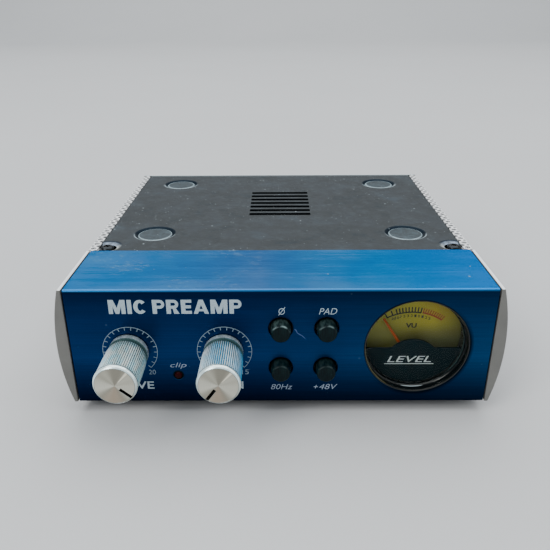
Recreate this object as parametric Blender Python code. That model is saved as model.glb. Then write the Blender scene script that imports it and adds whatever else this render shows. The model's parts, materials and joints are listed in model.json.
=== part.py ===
"""Desktop tube microphone preamp: a half-width steel case behind a blue aluminium bezel.

Millimetres are used throughout and turned into Blender's metres by MM when a mesh is made.
The case is drawn with x across, y going back from the front panel's face and z up from the
underside of the case. One empty, case_frame, moves all of it so that the world origin is the
middle of the footprint, on the surface that the rubber feet stand on.
"""

import math

import bmesh
import bpy
from mathutils import Vector

MM = 0.001

# ---------------------------------------------------------------- driving dimensions
BODY_WIDTH = 140.0
BODY_HEIGHT = 40.4
BODY_DEPTH = 132.8
FOOT_HEIGHT = 4.05
GAP = 0.3

FACE_HALF = 65.6  # the blue panel's half width
BEZEL_DEPTH = 31.7
BEZEL_FACE = 2.0
BEZEL_LIP = 1.5
SIDE_EDGE = 67.2  # where the bulged sides meet the top and the underside
CHEEK_INNER = FACE_HALF + 0.5
SHEET = 1.0

KNOB_LENGTH = 19.0
KNOB_Z = 19.2
DRIVE_X, DRIVE_ANGLE = -47.4, 130.6
GAIN_X, GAIN_ANGLE = -17.8, -143.9
SHAFT_RADIUS, BUSHING_RADIUS = 3.0, 3.9
POT_RADIUS, POT_DEPTH = 8.0, 8.0

BUTTON_RADIUS, BUTTON_HOLE, BUTTON_OUT = 3.1, 3.8, 3.9
BUTTON_COLUMNS, BUTTON_ROWS = (0.05, 14.2), (27.1, 12.9)
SWITCH_FRONT, SWITCH_HALF = 8.0, 4.0
FRONT_BOARD_Y, BOARD_THICK = 18.0, 1.6
LED_X, LED_Z = -32.6, 10.3

METER_X, METER_Z, METER_HOLE = 42.5, 20.3, 16.5
METER_INNER, METER_WALL, METER_BACK = 16.6, 1.2, 20.0
NEEDLE_Z, NEEDLE_LENGTH, NEEDLE_ANGLE = 11.5, 18.4, -32.0
HUMP_RADIUS, MASK_TOP = 9.0, 17.4

COVER_TOP = BODY_HEIGHT - 0.4
COVER_HALF = 65.6
COVER_START = BEZEL_DEPTH + GAP
COVER_END = BODY_DEPTH - 1.6
RECESS_X, RECESS_YS = 46.8, (50.0, 117.0)
RECESS_TOP, RECESS_FLOOR, EMBOSS = 7.4, 6.8, 1.5
SLOT_COUNT, SLOT_PITCH, SLOT_WIDTH, SLOT_HALF, SLOT_START = 7, 4.95, 2.8, 12.45, 72.0
SCREW_X, SCREW_Y, HEAD_RADIUS, SHANK_RADIUS = 61.4, 36.8, 2.4, 1.25
DIMPLE_TOP, DIMPLE_FLOOR = 3.6, 3.0

BOARD_Z = 5.0
TUBE_Y, TUBE_Z, TUBE_RADIUS, TUBE_GLASS = 87.0, 19.0, 10.9, 0.8

PANEL_IN = BODY_DEPTH - 1.2
REAR_Z = 20.2
MIC_X, INSTRUMENT_X, LINE_X, OUTPUT_X, INLET_X, SWITCH_X = -44.0, -23.0, -2.0, 20.0, 34.0, 49.0
FLANGE_FACE = BODY_DEPTH + 2.2
JACK_END = BODY_DEPTH + 3.5
XLR_BARREL, XLR_BORE = 11.7, 9.5
REAR_SCREW_X = 61.0
ROCKER_TILT, ROCKER_PIVOT_Y = -8.0, 129.5

CENTRE_Y = (JACK_END - KNOB_LENGTH) / 2  # middle of the whole depth, knobs and jacks included

# ---------------------------------------------------------------- finishes
# Each is a linear colour, a roughness, a metallic value and an opacity.
FINISHES = {
    "blue": ((0.01, 0.09, 0.24), 0.35, 0.6, 1.0),
    "silver": ((0.60, 0.60, 0.58), 0.4, 0.5, 1.0),
    "grey": ((0.20, 0.20, 0.20), 0.45, 0.6, 1.0),
    "board": ((0.03, 0.14, 0.06), 0.5, 0.0, 1.0),
    "rubber": ((0.015, 0.015, 0.015), 0.8, 0.0, 1.0),
    "ribbon": ((0.45, 0.45, 0.45), 0.6, 0.0, 1.0),
    "metal": ((0.72, 0.71, 0.68), 0.3, 1.0, 1.0),
    "steel": ((0.55, 0.56, 0.58), 0.3, 1.0, 1.0),
    "dark_metal": ((0.10, 0.10, 0.11), 0.4, 0.8, 1.0),
    "black": ((0.02, 0.02, 0.02), 0.45, 0.0, 1.0),
    "clear": ((0.9, 0.9, 0.9), 0.05, 0.0, 0.3),
    "dial": ((0.55, 0.45, 0.10), 0.7, 0.0, 1.0),
    "red": ((0.60, 0.10, 0.03), 0.5, 0.0, 1.0),
}


# ---------------------------------------------------------------- mesh helpers
def ring_point(axis, radius, along, angle):
    """A point at an angle round the X, Y or Z axis; angle 0 is the next axis in order."""
    a, b = radius * math.cos(angle), radius * math.sin(angle)
    return {"X": (along, a, b), "Y": (b, along, a), "Z": (a, b, along)}[axis]


def add_lathe(mesh, profile, axis="Y", segments=24, centre=(0, 0, 0), outline=None):
    """Turns a profile of (radius, along) round an axis. A radius of 0 is a point on the axis.

    A profile that never reaches the axis is closed into a ring. outline may scale the radius
    of the points that are on the outside, to make a hexagon.
    """
    rings = []
    for radius, along in profile:
        if radius == 0:
            rings.append([mesh.verts.new(Vector(ring_point(axis, 0, along, 0)) + Vector(centre))])
            continue
        ring = []
        for step in range(segments):
            angle = 2 * math.pi * step / segments
            reach = radius * (outline(radius, angle) if outline else 1)
            ring.append(mesh.verts.new(Vector(ring_point(axis, reach, along, angle)) + Vector(centre)))
        rings.append(ring)
    pairs = list(zip(rings, rings[1:]))
    if len(rings[0]) > 1 and len(rings[-1]) > 1:
        pairs.append((rings[-1], rings[0]))
    for first, second in pairs:
        for step in range(segments):
            after = (step + 1) % segments
            if len(first) == 1:
                mesh.faces.new((first[0], second[step], second[after]))
            elif len(second) == 1:
                mesh.faces.new((first[step], second[0], first[after]))
            else:
                mesh.faces.new((first[step], second[step], second[after], first[after]))


def add_rod(mesh, radius, start, end, axis="Y", segments=16, centre=(0, 0, 0)):
    add_lathe(mesh, [(0, start), (radius, start), (radius, end), (0, end)], axis, segments, centre)


def add_prism(mesh, outline, axis, start, end):
    """Extrudes a flat outline, given in the two axes that follow in order, along an axis."""
    def point(pair, along):
        return {"X": (along, *pair), "Y": (pair[0], along, pair[1]), "Z": (*pair, along)}[axis]

    low = [mesh.verts.new(point(pair, start)) for pair in outline]
    high = [mesh.verts.new(point(pair, end)) for pair in outline]
    mesh.faces.new(low)
    mesh.faces.new(high[::-1])
    for step in range(len(outline)):
        after = (step + 1) % len(outline)
        mesh.faces.new((low[step], high[step], high[after], low[after]))


def add_box(mesh, xs, ys, zs):
    add_prism(mesh, [(xs[0], ys[0]), (xs[1], ys[0]), (xs[1], ys[1]), (xs[0], ys[1])], "Z", *zs)


def arc(start, end, bulge, steps):
    """Points on the circle from start to end that bows by bulge to the right of the way there."""
    chord = Vector(end) - Vector(start)
    radius = (chord.length ** 2 / 4 + bulge ** 2) / (2 * bulge)
    right = Vector((chord.y, -chord.x)).normalized()
    centre = (Vector(start) + Vector(end)) / 2 + right * (bulge - radius)
    half = math.asin(chord.length / 2 / radius)
    along = chord.normalized()
    angles = [half * (2 * step / steps - 1) for step in range(steps + 1)]
    return [tuple(centre + right * radius * math.cos(a) + along * radius * math.sin(a)) for a in angles]


def rounded(half_x, half_z, corner, steps=3):
    """A rectangle with round corners, about its middle."""
    points = []
    for turn, (sx, sz) in enumerate(((1, 1), (-1, 1), (-1, -1), (1, -1))):
        for step in range(steps + 1):
            angle = math.pi / 2 * (turn + step / steps)
            x = sx * (half_x - corner) + corner * math.cos(angle)
            points.append((x, sz * (half_z - corner) + corner * math.sin(angle)))
    return points


def hexagon(flat_radius):
    """Scales a circle of the flat radius to a hexagon, and leaves smaller circles round."""
    def scale(radius, angle):
        off_flat = (angle % (math.pi / 3)) - math.pi / 6
        return 1 / math.cos(off_flat) if radius >= flat_radius else 1

    return scale


# ---------------------------------------------------------------- object helpers
def material(name, colour, roughness, metallic=0.0, alpha=1.0):
    made = bpy.data.materials.new(name)
    made.use_nodes = True
    shader = made.node_tree.nodes["Principled BSDF"]
    shader.inputs["Base Color"].default_value = (*colour, 1)
    shader.inputs["Roughness"].default_value = roughness
    shader.inputs["Metallic"].default_value = metallic
    shader.inputs["Alpha"].default_value = alpha
    made.diffuse_color = (*colour, alpha)
    return made


def make(name, build, finish=None, parent=None, location=(0, 0, 0)):
    """Makes an object from build, which adds closed shapes to an empty bmesh."""
    bm = bmesh.new()
    build(bm)
    bmesh.ops.recalc_face_normals(bm, faces=bm.faces)
    bmesh.ops.scale(bm, vec=(MM, MM, MM), verts=bm.verts)
    mesh = bpy.data.meshes.new(name)
    bm.to_mesh(mesh)
    bm.free()
    mesh.shade_smooth()
    mesh.set_sharp_from_angle(angle=math.radians(35))
    obj = bpy.data.objects.new(name, mesh)
    bpy.context.scene.collection.objects.link(obj)
    obj.parent = parent
    obj.location = Vector(location) * MM
    if finish is not None:
        mesh.materials.append(material(f"{name}_finish", *FINISHES[finish]))
    return obj


def combine(target, how, name, build):
    """Joins or cuts a helper shape, drawn in the target's own coordinates."""
    helper = make(name, build, parent=target.parent, location=Vector(target.location) / MM)
    helper.hide_render = True
    helper.display_type = "WIRE"
    boolean = target.modifiers.new(name, "BOOLEAN")
    boolean.operation = how
    boolean.solver = "EXACT"
    boolean.object = helper


def join(target, name, build):
    combine(target, "UNION", name, build)


def cut(target, name, build):
    combine(target, "DIFFERENCE", name, build)


def axis_empty(name, parent, location, angle=0.0, about="Y"):
    """An empty on a joint's axis, turned to the pose that the piece rests in."""
    empty = bpy.data.objects.new(name, None)
    bpy.context.scene.collection.objects.link(empty)
    empty.empty_display_size = 10 * MM
    empty.parent = parent
    empty.location = Vector(location) * MM
    empty.rotation_euler["XYZ".index(about)] = math.radians(angle)
    return empty


# ---------------------------------------------------------------- casing
def build_bezel(frame):
    """The blue bezel: one bent plate that is the front, and a lip over the top and underneath."""
    edge = 0.6
    back, inner_top = BEZEL_DEPTH, BODY_HEIGHT - BEZEL_LIP

    def channel(bm):
        outline = [(back, 0), (edge, 0), (edge * 0.3, edge * 0.3), (0, edge)]
        outline += [(0, BODY_HEIGHT - edge), (edge * 0.3, BODY_HEIGHT - edge * 0.3)]
        outline += [(edge, BODY_HEIGHT), (back, BODY_HEIGHT), (back, inner_top)]
        outline += [(BEZEL_FACE, inner_top), (BEZEL_FACE, BEZEL_LIP), (back, BEZEL_LIP)]
        add_prism(bm, outline, "X", -FACE_HALF, FACE_HALF)

    def holes(bm):
        for x in (DRIVE_X, GAIN_X):
            add_rod(bm, BUSHING_RADIUS + 0.4, -5, 5, segments=24, centre=(x, 0, KNOB_Z))
        for x in BUTTON_COLUMNS:
            for z in BUTTON_ROWS:
                add_rod(bm, BUTTON_HOLE, -5, 5, segments=28, centre=(x, 0, z))
        add_rod(bm, 1.7, -5, 5, segments=16, centre=(LED_X, 0, LED_Z))
        add_rod(bm, METER_HOLE, -5, 5, segments=48, centre=(METER_X, 0, METER_Z))

    cut(make("front_bezel", channel, "blue", frame), "cut_panel_holes", holes)


def side_arc(side, top, bottom, edge, bulge, steps=14):
    """The bowed outline of a side, from its top edge down, for the left (-1) or right (+1)."""
    points = arc((edge, bottom), (edge, top), bulge, steps)[::-1]
    return [(side * x, z) for x, z in points]


def build_cheeks(frame):
    """The silver end pieces that close the bezel's two ends."""
    bulge = BODY_WIDTH / 2 - SIDE_EDGE
    for side, name in ((-1, "left_cheek"), (1, "right_cheek")):
        outline = side_arc(side, BODY_HEIGHT, 0, SIDE_EDGE, bulge)
        outline += [(side * CHEEK_INNER, 0), (side * CHEEK_INNER, BODY_HEIGHT)]
        make(name, lambda bm, o=outline: add_prism(bm, o, "Y", 0, BEZEL_DEPTH), "silver", frame)


def build_side_panels(frame):
    """Bowed sheet sides whose edges fold in over the top and the underside."""
    thick, low, high = 0.9, 0.1, COVER_TOP + 0.2
    fold = COVER_HALF + GAP
    bulge = BODY_WIDTH / 2 - SIDE_EDGE
    for side, name in ((-1, "left_side_panel"), (1, "right_side_panel")):
        outline = side_arc(side, high, low, SIDE_EDGE, bulge)
        outline += [(side * fold, low), (side * fold, low + thick)]
        outline += side_arc(side, high - thick, low + thick, SIDE_EDGE - thick, bulge)[::-1]
        outline += [(side * fold, high - thick), (side * fold, high)]
        make(name, lambda bm, o=outline: add_prism(bm, o, "Y", COVER_START, COVER_END), "silver", frame)


def build_cover(frame):
    """The top sheet: vent slots, four pressed recesses for a stacked unit's feet, two screws."""
    def sheet(bm):
        add_box(bm, (-COVER_HALF, COVER_HALF), (COVER_START, COVER_END), (COVER_TOP - SHEET, COVER_TOP))

    def pressings(bm):
        low, high = COVER_TOP - EMBOSS - SHEET, COVER_TOP - SHEET / 2
        for side in (-1, 1):
            for y in RECESS_YS:
                centre = (side * RECESS_X, y, 0)
                add_rod(bm, RECESS_TOP + 1, low, high, "Z", 20, centre)
            add_rod(bm, 3.9, low, high, "Z", 12, (side * SCREW_X * 0.9962, SCREW_Y, 0))

    def tongue(bm):
        """A strip that slides under the bezel's lip, and the step that carries it."""
        top, step, back = BODY_HEIGHT - BEZEL_LIP - GAP, COVER_START + 1, COVER_START + 3.5
        outline = [(24, top - SHEET), (back, top - SHEET), (back, COVER_TOP - SHEET / 2)]
        add_prism(bm, outline + [(step, COVER_TOP - SHEET / 2), (step, top), (24, top)], "X", -52, 52)

    def openings(bm):
        floor = COVER_TOP - EMBOSS
        for side in (-1, 1):
            for y in RECESS_YS:
                cup = [(0, floor), (RECESS_FLOOR, floor), (RECESS_TOP, COVER_TOP + 0.01)]
                cup += [(RECESS_TOP, COVER_TOP + 1), (0, COVER_TOP + 1)]
                add_lathe(bm, cup, "Z", 24, (side * RECESS_X, y, 0))
            dimple = [(0, floor - 3), (SHANK_RADIUS + 0.35, floor - 3), (SHANK_RADIUS + 0.35, floor)]
            dimple += [(DIMPLE_FLOOR, floor), (DIMPLE_TOP, COVER_TOP + 0.01), (DIMPLE_TOP, COVER_TOP + 1)]
            add_lathe(bm, dimple + [(0, COVER_TOP + 1)], "Z", 16, (side * SCREW_X, SCREW_Y, 0))
        for slot in range(SLOT_COUNT):
            y = SLOT_START + SLOT_PITCH * slot
            add_box(bm, (-SLOT_HALF, SLOT_HALF), (y - SLOT_WIDTH / 2, y + SLOT_WIDTH / 2), (37, 42))

    cover = make("top_cover", sheet, "grey", frame)
    join(cover, "add_pressings", pressings)
    join(cover, "add_cover_tongue", tongue)
    cut(cover, "cut_cover", openings)


def build_tray(frame):
    """The floor and its upright walls, with posts for the board, the cover and the rear panel."""
    post_top = COVER_TOP - EMBOSS - SHEET - GAP
    wall_top = COVER_TOP - SHEET - GAP

    def channel(bm):
        inner = COVER_HALF - SHEET
        right = [(COVER_HALF, 0), (COVER_HALF, wall_top), (inner, wall_top), (inner, SHEET)]
        add_prism(bm, right + [(-x, z) for x, z in right[::-1]], "Y", COVER_START, COVER_END)

    def posts(bm):
        for side in (-1, 1):
            for y in (41, 116):
                add_rod(bm, 2.5, SHEET / 2, BOARD_Z - GAP, "Z", 12, (side * 53, y, 0))
            add_rod(bm, 2.9, SHEET / 2, post_top, "Z", 16, (side * SCREW_X, SCREW_Y, 0))
            low, high = sorted((side * (REAR_SCREW_X - 2.8), side * (REAR_SCREW_X + 2.8)))
            add_box(bm, (low, high), (124, COVER_END), (SHEET / 2, 25))

    def tongue(bm):
        low, step, back = BEZEL_LIP + GAP, COVER_START + 0.5, COVER_START + 1.8
        outline = [(24, low), (step, low), (step, SHEET / 2), (back, SHEET / 2)]
        add_prism(bm, outline + [(back, low + SHEET), (24, low + SHEET)], "X", -52, 52)

    def holes(bm):
        for side in (-1, 1):
            low, high = sorted((side * (COVER_HALF - 1.6), side * (COVER_HALF + 1)))
            add_box(bm, (low, high), (COVER_START - 1, SCREW_Y + 4.8), (post_top, COVER_TOP))
            add_rod(bm, SHANK_RADIUS + 0.35, 28, post_top + 1, "Z", 12, (side * SCREW_X, SCREW_Y, 0))
            add_rod(bm, SHANK_RADIUS + 0.35, 125.5, 133, "Y", 12, (side * REAR_SCREW_X, 0, REAR_Z))
            for y in RECESS_YS:
                add_rod(bm, 1.9, -1, 2, "Z", 16, (side * RECESS_X, y, 0))

    tray = make("chassis_tray", channel, "grey", frame)
    join(tray, "add_posts", posts)
    join(tray, "add_tray_tongue", tongue)
    cut(tray, "cut_tray", holes)


def build_feet(frame):
    """Rubber feet, each held by its own stem through the tray."""
    bottom = -FOOT_HEIGHT
    profile = [(0, bottom), (6.0, bottom), (6.4, bottom + 0.4), (6.7, -GAP), (1.5, -GAP)]
    profile += [(1.5, SHEET + 0.4), (1.0, SHEET + 1.6), (0, SHEET + 1.6)]
    for side, across in ((-1, "left"), (1, "right")):
        for y, along in zip(RECESS_YS, ("front", "rear")):
            where = (side * RECESS_X, y, 0)
            shape = lambda bm: add_lathe(bm, profile, "Z", 18)
            make(f"{along}_{across}_foot", shape, "rubber", frame, where)


def build_cover_screws(frame):
    floor = COVER_TOP - EMBOSS + GAP
    profile = [(0, floor - 8.5), (SHANK_RADIUS, floor - 8.5), (SHANK_RADIUS, floor), (HEAD_RADIUS, floor)]
    profile += [(HEAD_RADIUS, floor + 0.6), (1.7, floor + 1.1), (0, floor + 1.1)]
    for side, name in ((-1, "left_cover_screw"), (1, "right_cover_screw")):
        make(name, lambda bm: add_lathe(bm, profile, "Z", 16), "black", frame, (side * SCREW_X, SCREW_Y, 0))


# ---------------------------------------------------------------- front panel controls
def build_knob(name, x, angle, frame):
    """A knob and the shaft that it is pushed onto, which turn together."""
    axis = axis_empty(f"{name}_axis", frame, (x, 0, KNOB_Z), angle)
    front, seat = -KNOB_LENGTH, -3.4
    outside = [(0, front), (5.9, front), (6.5, front + 0.9), (6.5, front + 1.8), (6.3, front + 2.0)]
    outside += [(6.05, -3.0), (5.95, -2.9), (5.95, -2.4), (6.15, -2.3), (6.15, -0.4)]
    inside = [(5.6, -0.4), (5.6, seat), (SHAFT_RADIUS + GAP, seat), (SHAFT_RADIUS + GAP, -15.5), (0, -15.5)]
    knob = make(f"{name}_knob", lambda bm: add_lathe(bm, outside + inside, "Y", 26), "metal", axis)
    pointer = 0.55
    groove = ((-pointer, pointer), (front - 1, front + 0.25), (2.1, 7))
    cut(knob, f"cut_{name}_pointer", lambda bm: add_box(bm, *groove))
    shaft = [(0, -15.2), (2.6, -15.2), (SHAFT_RADIUS, -14.8), (SHAFT_RADIUS, 4.6), (0, 4.6)]
    make(f"{name}_shaft", lambda bm: add_lathe(bm, shaft, "Y", 16), "steel", axis)


def build_pot(name, x, frame):
    """The potentiometer behind the panel, with its bushing through the hole, and its nut."""
    front, back = BEZEL_FACE + GAP, BEZEL_FACE + GAP + POT_DEPTH
    bore = SHAFT_RADIUS + 0.35
    profile = [(0, 5), (bore, 5), (bore, -3.1), (BUSHING_RADIUS, -3.1), (BUSHING_RADIUS, front)]
    profile += [(POT_RADIUS, front), (POT_RADIUS, back - 0.5), (POT_RADIUS - 0.5, back), (0, back)]
    make(f"{name}_pot", lambda bm: add_lathe(bm, profile, "Y", 18), "steel", frame, (x, 0, KNOB_Z))
    flat, hole = 4.5, BUSHING_RADIUS + GAP
    nut = [(hole, -2.3), (flat, -2.3), (flat, -GAP), (hole, -GAP)]
    shape = hexagon(flat)
    where = (x, 0, KNOB_Z)
    make(f"{name}_pot_nut", lambda bm: add_lathe(bm, nut, "Y", 24, outline=shape), "steel", frame, where)


def build_button(name, x, z, frame):
    """A push button with its plunger, and the latching switch that it works."""
    axis = axis_empty(f"{name}_axis", frame, (x, 0, z))
    front = -BUTTON_OUT
    cap = [(0, front), (2.75, front), (BUTTON_RADIUS, front + 0.35), (BUTTON_RADIUS, 5), (1.5, 5)]
    plunger = [(1.5, SWITCH_FRONT + 0.3), (0, SWITCH_FRONT + 0.3)]
    make(f"{name}_button", lambda bm: add_lathe(bm, cap + plunger, "Y", 18), "black", axis)

    def case(bm):
        half = SWITCH_HALF
        add_box(bm, (-half, half), (SWITCH_FRONT, FRONT_BOARD_Y - GAP), (-half, half))

    switch = make(f"{name}_switch", case, "black", frame, (x, 0, z))
    well = (1.9, SWITCH_FRONT - 1, SWITCH_FRONT + 3.2)
    cut(switch, f"cut_{name}_well", lambda bm: add_rod(bm, *well, segments=14))


def build_led(frame):
    """The clip lamp: a domed lens with a collar behind the panel and two legs to the board."""
    dome = [(0, -0.9), (0.8, -0.75), (1.25, -0.2), (1.4, 0.4), (1.4, 2.5), (1.9, 2.5), (1.9, 3.5), (0, 3.5)]
    led = make("clip_led", lambda bm: add_lathe(bm, dome, "Y", 12), "red", frame, (LED_X, 0, LED_Z))

    def legs(bm):
        for x in (-0.9, 0.9):
            add_box(bm, (x - 0.25, x + 0.25), (3, FRONT_BOARD_Y - GAP), (-0.25, 0.25))

    join(led, "add_led_legs", legs)


def build_front_board(frame):
    def board(bm):
        add_box(bm, (-60, 22), (FRONT_BOARD_Y, FRONT_BOARD_Y + BOARD_THICK), (3.2, 36.4))

    make("front_board", board, "board", frame)


# ---------------------------------------------------------------- level meter
def build_meter(frame):
    """The moving-needle level meter: can, window, printed dial, lower mask, movement and needle."""
    outer, floor, back = METER_INNER + METER_WALL, METER_BACK - 1.4, METER_BACK
    front = BEZEL_FACE + 0.4
    where = (METER_X, 0, METER_Z)
    can = [(0, back), (outer, back), (outer, front), (METER_INNER, front), (METER_INNER, floor), (0, floor)]
    make("meter_housing", lambda bm: add_lathe(bm, can, "Y", 32), "black", frame, where)
    window = [(0, 1.1), (8, 1.25), (13, 1.55), (15.5, 1.8), (16.2, 2.4), (16.2, 3.2), (0, 3.2)]
    make("meter_lens", lambda bm: add_lathe(bm, window, "Y", 32), "clear", frame, where)
    dial = make("meter_dial", lambda bm: add_rod(bm, 16.3, 8.0, 8.6, "Y", 32), "dial", frame, where)
    pivot = NEEDLE_Z - METER_Z
    cut(dial, "cut_staff_hole", lambda bm: add_rod(bm, 1.2, 7, 10, "Y", 12, (0, 0, pivot)))
    make("meter_mask", lambda bm: add_prism(bm, mask_outline(16.3), "Y", 4.6, 5.2), "black", frame, where)
    magnet = (7.4, 9.3, floor - GAP)
    make("meter_movement", lambda bm: add_rod(bm, *magnet, "Y", 24), "steel", frame, (METER_X, 0, NEEDLE_Z))
    build_needle(frame)


def mask_outline(radius, steps=22):
    """The lower part of a disc, with a hump round the needle's pivot, about the meter's middle."""
    line, pivot = MASK_TOP - METER_Z, NEEDLE_Z - METER_Z
    drop = math.asin(-line / radius)
    disc = [math.pi + drop + (math.pi - 2 * drop) * step / steps for step in range(steps + 1)]
    points = [(radius * math.cos(a), radius * math.sin(a)) for a in disc]
    rise = math.asin((line - pivot) / HUMP_RADIUS)
    hump = [rise + (math.pi - 2 * rise) * step / 12 for step in range(13)]
    return points + [(HUMP_RADIUS * math.cos(a), pivot + HUMP_RADIUS * math.sin(a)) for a in hump]


def build_needle(frame):
    """The pointer, drawn upright and then laid against its left stop by the axis empty."""
    axis = axis_empty("needle_axis", frame, (METER_X, 0, NEEDLE_Z), NEEDLE_ANGLE)
    hub = [(0, 5.9), (1.6, 5.9), (1.6, 7.2), (0.5, 7.2), (0.5, 9.0), (0, 9.0)]
    needle = make("meter_needle", lambda bm: add_lathe(bm, hub, "Y", 12), "red", axis)

    def blade(bm):
        right = [(0.6, -4.5), (0.45, 0), (0.22, NEEDLE_LENGTH)]
        add_prism(bm, right + [(-x, z) for x, z in right[::-1]], "Y", 6.3, 6.65)

    join(needle, "add_blade", blade)


# ---------------------------------------------------------------- inside the case
def build_main_board(frame):
    def board(bm):
        add_box(bm, (-57, 57), (39, 121), (BOARD_Z, BOARD_Z + BOARD_THICK))

    make("main_board", board, "board", frame)


def build_ribbon(frame):
    """The flat cable from the front board down to the main board."""
    start, lean, fall, end = (Vector(p) for p in ((19.9, 14), (36, 14), (46, 18), (46, 6.95)))

    def strip(bm):
        upper, lower, steps, half = [], [], 12, 0.5
        for step in range(steps + 1):
            t = step / steps
            s = 1 - t
            point = start * s ** 3 + lean * 3 * s * s * t + fall * 3 * s * t * t + end * t ** 3
            way = (lean - start) * s * s + (fall - lean) * 2 * s * t + (end - fall) * t * t
            side = Vector((-way.y, way.x)).normalized() * half
            upper.append(tuple(point + side))
            lower.append(tuple(point - side))
        add_prism(bm, upper + lower[::-1], "X", 2, 18)

    make("ribbon_cable", strip, "ribbon", frame)


def build_tube(frame):
    """The valve lying on its side under the vent: glass, base with nine pins, plates, socket."""
    where = (0, TUBE_Y, TUBE_Z)
    outer, inner = TUBE_RADIUS, TUBE_RADIUS - TUBE_GLASS
    turns = [math.pi / 2 * step / 5 for step in range(5)]
    outside = [(0, 28), (1.0, 27.6), (1.6, 25.2)]
    outside += [(outer * math.cos(a), 17 + 8 * math.sin(a)) for a in turns[::-1]] + [(outer, -22)]
    inside = [(inner, -22)] + [(inner * math.cos(a), 16.6 + 7.4 * math.sin(a)) for a in turns] + [(0, 24)]
    glass = outside + inside
    make("tube_envelope", lambda bm: add_lathe(bm, glass, "X", 18), "clear", frame, where)

    def ring_of_pins(bm, radius, start, end):
        for pin in range(9):
            angle = 2 * math.pi * (pin + 0.5) / 10 - math.pi / 2
            centre = (0, 6 * math.cos(angle), 6 * math.sin(angle))
            add_rod(bm, radius, start, end, "X", 6, centre)

    disc = lambda bm: add_rod(bm, inner - GAP, -23, -20.5, "X", 16)
    base = make("tube_base", disc, "clear", frame, where)
    join(base, "add_tube_pins", lambda bm: ring_of_pins(bm, 0.5, -29, -22))
    plate = rounded(5.2, 3.6, 3.4)
    make("tube_plates", lambda bm: add_prism(bm, plate, "X", -17, 14), "dark_metal", frame, where)

    def holder(bm):
        add_rod(bm, 10.2, -33, -23.3, "X", 18)

    socket = make("tube_socket", holder, "black", frame, where)
    foot = BOARD_Z + BOARD_THICK + GAP - TUBE_Z
    join(socket, "add_socket_foot", lambda bm: add_box(bm, (-32.5, -26), (-7, 7), (foot, -4)))
    cut(socket, "cut_socket_pins", lambda bm: ring_of_pins(bm, 0.85, -29.5, -22))


def build_supply(frame):
    """The supply's reservoir capacitor and the finned heatsink of its regulator."""
    low = BOARD_Z + BOARD_THICK + GAP
    can = [(0, low), (8, low), (8, low + 1.2), (7.6, low + 1.8), (8, low + 2.4)]
    can += [(8, 29), (7.4, 29.6), (0, 29.6)]
    make("reservoir_capacitor", lambda bm: add_lathe(bm, can, "Z", 18), "black", frame, (38, 60, 0))

    def fins(bm):
        outline, pitch, thick, reach = [(-10, 0), (10, 0)], 4.5, 1.4, 9
        for fin in range(5):
            x = 9 - pitch * fin
            right, left = x + thick / 2, x - thick / 2
            outline += [(right, 2.2), (right, reach), (left, reach), (left, 2.2)]
        outline[1:3] = [(10, 0), (10, 2.2), outline[2]]
        add_prism(bm, outline + [(-10, 2.2)], "Z", low, 28)

    make("regulator_heatsink", fins, "dark_metal", frame, (46, 92, 0))


# ---------------------------------------------------------------- rear panel
def build_rear_panel(frame):
    """The sheet that closes the back, with the case's own bowed outline."""
    def sheet(bm):
        bulge, top, bottom = BODY_WIDTH / 2 - SIDE_EDGE, COVER_TOP + 0.2, 0.1
        left, right = (side_arc(side, top, bottom, SIDE_EDGE, bulge) for side in (-1, 1))
        add_prism(bm, right + left[::-1], "Y", PANEL_IN, BODY_DEPTH)

    def holes(bm):
        start, end = PANEL_IN - 2, BODY_DEPTH + 2
        add_rod(bm, 12.1, start, end, segments=32, centre=(LINE_X, 0, REAR_Z))
        for x in (INSTRUMENT_X, OUTPUT_X):
            add_rod(bm, 5.1, start, end, segments=24, centre=(x, 0, REAR_Z))
        for x in (-REAR_SCREW_X, REAR_SCREW_X):
            add_rod(bm, SHANK_RADIUS + 0.35, start, end, segments=12, centre=(x, 0, REAR_Z))
        add_box(bm, (INLET_X - 4.9, INLET_X + 4.9), (start, end), (REAR_Z - 5.9, REAR_Z + 5.9))
        add_box(bm, (SWITCH_X - 6.6, SWITCH_X + 6.6), (start, end), (REAR_Z - 9.6, REAR_Z + 9.6))

    def mic_hole(bm):
        add_rod(bm, 12.1, PANEL_IN - 2, BODY_DEPTH + 2, segments=32, centre=(MIC_X, 0, REAR_Z))

    def latch_notch(bm):
        add_box(bm, (MIC_X - 4.3, MIC_X + 4.3), (PANEL_IN - 2, BODY_DEPTH + 2), (REAR_Z + 8, REAR_Z + 14.8))

    panel = make("rear_panel", sheet, "grey", frame)
    cut(panel, "cut_rear_holes", holes)
    cut(panel, "cut_mic_hole", mic_hole)
    cut(panel, "cut_latch_notch", latch_notch)


def xlr_shell(name, x, frame):
    """A panel connector's flange and barrel, bored out for the mating plug."""
    def flange(bm):
        add_prism(bm, rounded(13, 15.5, 2.5), "Y", BODY_DEPTH + GAP, FLANGE_FACE)

    shell = make(name, flange, "steel", frame, (x, 0, REAR_Z))
    join(shell, f"add_{name}_barrel", lambda bm: add_rod(bm, XLR_BARREL, 112, 134, segments=28))
    cut(shell, f"cut_{name}_bore", lambda bm: add_rod(bm, XLR_BORE, 115.5, 136, segments=32))
    return shell


def pins_at(bm, radius, start, end, angles=(90, 210, 330), circle=4.5):
    for angle in angles:
        turn = math.radians(angle)
        centre = (circle * math.cos(turn), 0, circle * math.sin(turn))
        add_rod(bm, radius, start, end, "Y", 10, centre)


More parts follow.
